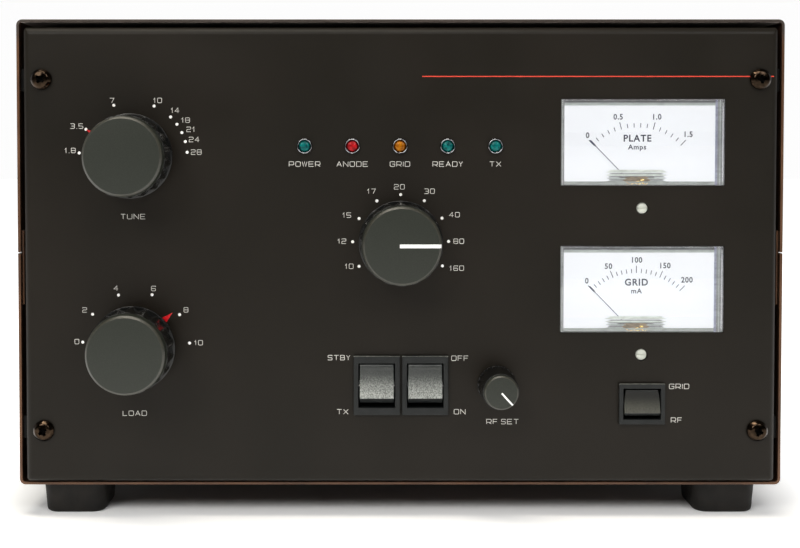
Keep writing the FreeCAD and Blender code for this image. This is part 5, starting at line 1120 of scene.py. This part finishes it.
bezelLook = {"edge": 0.4, "highlightBand": 0.6}
tallRocker = {
    "half": 10.1, "deep": 8.0, "hollow": 0.8, "wide": 18.0, "tilt": 10, "faceEnds": -7.8, "lip": 3.4,
    "bow": 0.0, "edge": 0.35, "face": "texturedPolycarbonate",
}
lowRocker = {
    "half": 6.9, "deep": 6.0, "hollow": 0.4, "wide": 19.0, "tilt": 8, "faceEnds": -5.4, "lip": 2.0,
    "bow": 0.9, "edge": 0.35, "face": "satinPolycarbonate",
}
for control, look in {"standby": tallRocker, "power": tallRocker, "selector": lowRocker}.items():
    switch, rocker = control + "_switch", control + "_rocker"
    finish = ["mouldedPolyamide", "paintedHighlightPolyamide"]
    bezel = softened(control + "Bezel", switch, finish, bezelLook["edge"], "switch_black", steps=3)
    upper, near = high(switch).z - bezelLook["highlightBand"], low(switch).y + bezelLook["highlightBand"]
    # faces along the bezel's upper front edge take the painted highlight
    for face in bezel.data.polygons:
        spot = face.center / mm
        face.material_index = int(spot.z > upper and spot.y < near and -0.95 < face.normal.y < -0.2)
    pin = pivotOf(control + "_rock")
    top, deep, bottom = look["half"], look["deep"], look["faceEnds"]
    # side view of height and depth: hollow face, lip that turns under at the bottom, and the belly behind
    side = [(top, deep * 0.2), (top, deep - 0.5)]
    for i in range(1, 17):
        side.append((top + (bottom - top) * i / 17, deep - look["hollow"] * (1 - (2 * i / 17 - 1) ** 2)))
    side += [(bottom, deep), (-top, deep - look["lip"]), (-top, deep * 0.1)]
    side += [(-top * 0.4, -deep * 0.45), (top * 0.4, -deep * 0.45)]
    body = prism([(depth, height) for height, depth in side], look["wide"])
    moved(body, Matrix(((0, 0, 1, -look["wide"] / 2), (0, 1, 0, 0), (1, 0, 0, 0), (0, 0, 0, 1))))
    for vertex in body.verts:
        share = (vertex.co.y + top * 0.35) / (top * 1.35)
        vertex.co.x *= 1 - 2 * look["bow"] / look["wide"] * share**2
    softEdges(body, look["edge"], 3, over=35)
    # the lip below the face takes the bezel's dark black: painted shade
    for face in body.faces:
        face.material_index = int(face.calc_center_median().y < bottom - 0.05)
    stub = spun([(0, -1), (1.35, -1), (1.35, 1), (0, 1)], 24)
    moved(stub, turn(90, "Y") @ Matrix.Scale(halfWide(rocker), 4, (0, 0, 1)))
    place = facing(*pin) @ turn(-look["tilt"], "X")
    shape, finish = joined([body, stub]), [look["face"], "mouldedPolyamide"]
    piece(control + "Rocker", shape, finish, control + "_control", place, (rocker,), "rocker_grey", sharp=50)
    if look is tallRocker:
        # the bright ends of the pivot beside the rocker
        ends = []
        for side in (-1, 1):
            end = spun(filleted([(0, -0.6), (0.32, -0.6), (0.32, 0.2), (0, 0.2)], 0.12, 3), 16)
            across = pin.x + side * (look["wide"] / 2 + 0.35)
            ends.append(moved(end, facing(across, low(switch).y + 0.5, pin.z)))
        piece(control + "PivotEnds", joined(ends), "groundSteel", slot="shaft_steel")
print("switches made")


# rear connections, drawn outwards from the rear panel's face

threadLook = {"pitch": 1.0, "deep": 0.45}


def threaded(radius, start, end):
    # rows of a coarse screw thread, drawn as rings
    rows, height = [], start
    while height + threadLook["pitch"] <= end:
        rows += [(radius - threadLook["deep"], height), (radius, height + threadLook["pitch"] / 2)]
        height += threadLook["pitch"]
    return rows + [(radius - threadLook["deep"], height)]


def hexNut(across, thick, bore):
    corner = across / cos(radians(30)) / 2
    angles = [radians(60 * i) for i in range(6)]
    outline = [(corner * cos(angle), corner * sin(angle)) for angle in angles]
    hole = spun([(0, -1), (bore, -1), (bore, thick + 1), (0, thick + 1)], 40)
    return carved(softEdges(prism(outline, thick), 0.4), [hole])


def rearSpots(node):
    # each solid's place, and how far it goes outwards and inwards
    for lowest, highest in looseParts(node):
        centre = (lowest + highest) / 2
        yield facing(centre.x, rearFace, centre.z, rear), highest.y - rearFace, rearFace - lowest.y


coaxLook = {"flange": 25.4, "thick": 1.6, "barrel": 7.94, "hole": 6.2, "pin": 2.0, "screws": 9.1}
sockets, insulators = [], []
for place, out, inward in rearSpots("rf_sockets"):
    flange, thick, wall, hole, pin, spread = coaxLook.values()
    barrel = [(hole, 1.0), (wall, 1.0), (wall, 3.0), *threaded(wall, 3.2, out - 0.6)]
    barrel += [(wall - 0.8, out), (hole, out), (hole, 1.0)]
    back = [(0, -inward), (pin, -inward), (pin, -4), (6.1, -4), (6.1, 0.5), (0, 0.5)]
    parts = [block(flange, flange, thick, 0.5), spun(barrel, 64), spun(back, 32)]
    for right, up in ((-1, -1), (-1, 1), (1, -1), (1, 1)):
        head = spun(filleted([(0, 0), (2.6, 0), (2.6, 0.8), (1.4, 1.7), (0, 1.8)], 0.3, 3), 24)
        parts.append(moved(head, shift(right * spread, up * spread, thick)))
    sockets.append(moved(joined(parts), place))
    core = [(pin, 1.2), (hole - 0.05, 1.2), (hole - 0.05, out - 3.5), (pin, out - 3.5), (pin, 1.2)]
    insulators.append(moved(spun(core, 48), place))
piece("coaxSockets", joined(sockets), "nickelPlatedBrass", replaced=("rf_sockets",), slot="nickel")
piece("coaxInsulators", joined(insulators), "glazedSteatite", slot="switch_ceramic")

jacks, rings = [], []
for place, out, inward in rearSpots("rear_jacks"):
    shell = [(1.6, 0.5), (4.1, 0.5), (4.1, out, 0.4), (3.3, out, 0.2), (3.3, out - 4), (1.6, out - 4)]
    shell.append(shell[0])
    back = [(0, -inward), (2.2, -inward), (3.9, -4), (3.9, 0.4), (0, 0.4)]
    for shape in (spun(filleted(shell, 0, 3), 48), spun(back, 32), hexNut(11.2, 2.4, 4.2)):
        jacks.append(moved(shape, place))
    ring = [(1.7, out - 3.9), (3.2, out - 3.9), (3.2, out - 1.0), (1.7, out - 1.0), (1.7, out - 3.9)]
    rings.append(moved(spun(ring, 40), place))
piece("phonoJacks", joined(jacks), "nickelPlatedBrass", replaced=("rear_jacks",), slot="nickel")
piece("phonoInsulators", joined(rings), "mouldedPolyester", slot="inlet_black")

place, out, inward = next(rearSpots("ground_stud"))
post = [(0, -inward), (2.6, -inward)] + threaded(3.0, -inward + 0.5, out - 1.0) + [(2.0, out), (0, out)]
washer = filleted([(2.9, 4.8), (5.6, 4.8), (5.6, 5.6), (2.9, 5.6), (2.9, 4.8)], 0.2, 2)
stud = joined([spun(post, 40), hexNut(9.8, 4.8, 2.9), spun(washer, 40)])
piece("groundStud", stud, "nickelPlatedBrass", place=place, replaced=("ground_stud",), slot="nickel")
inletEdge = 0.3
softened("mainsInlet", "mains_inlet", "mouldedPolyester", inletEdge, "inlet_black")
print("rear connections made")


# finishes of the pieces that keep their own shape

finishes = {
    "rolledAluminium": ["chassis_deck", "air_box"],
    "anodisedAluminium": ["corner_rails"],
    "paintedAcrylic": ["tune_pointer", "load_pointer"],
    "groundSteel": ["tune_spindle", "load_spindle", "band_switch_rotor", "rf_set_pot"],
    "turnedBrass": ["ball_drives"],
    "etchedAluminium": ["tune_stator", "tune_rotor", "load_stator", "load_rotor"],
    "glazedSteatite": ["band_switch", "tube_sockets"],
    "mouldedBakelite": ["plate_meter_case", "grid_meter_case"],
    "litDial": ["plate_meter_dial", "grid_meter_dial"],
    "varnishedLaminations": ["transformer"],
    "glassFibreBoard": ["power_board"],
    "galvanisedSteel": ["blower_housing"],
    "zincPlatedSteel": ["blower_impeller"],
    "firedAlumina": ["power_tubes"],
    "platedCopper": ["tank_coil"],
}
for material, names in finishes.items():
    for name in names:
        for slot in nodes[name].material_slots:
            slot.material = surfaces[material]
print("finishes given")
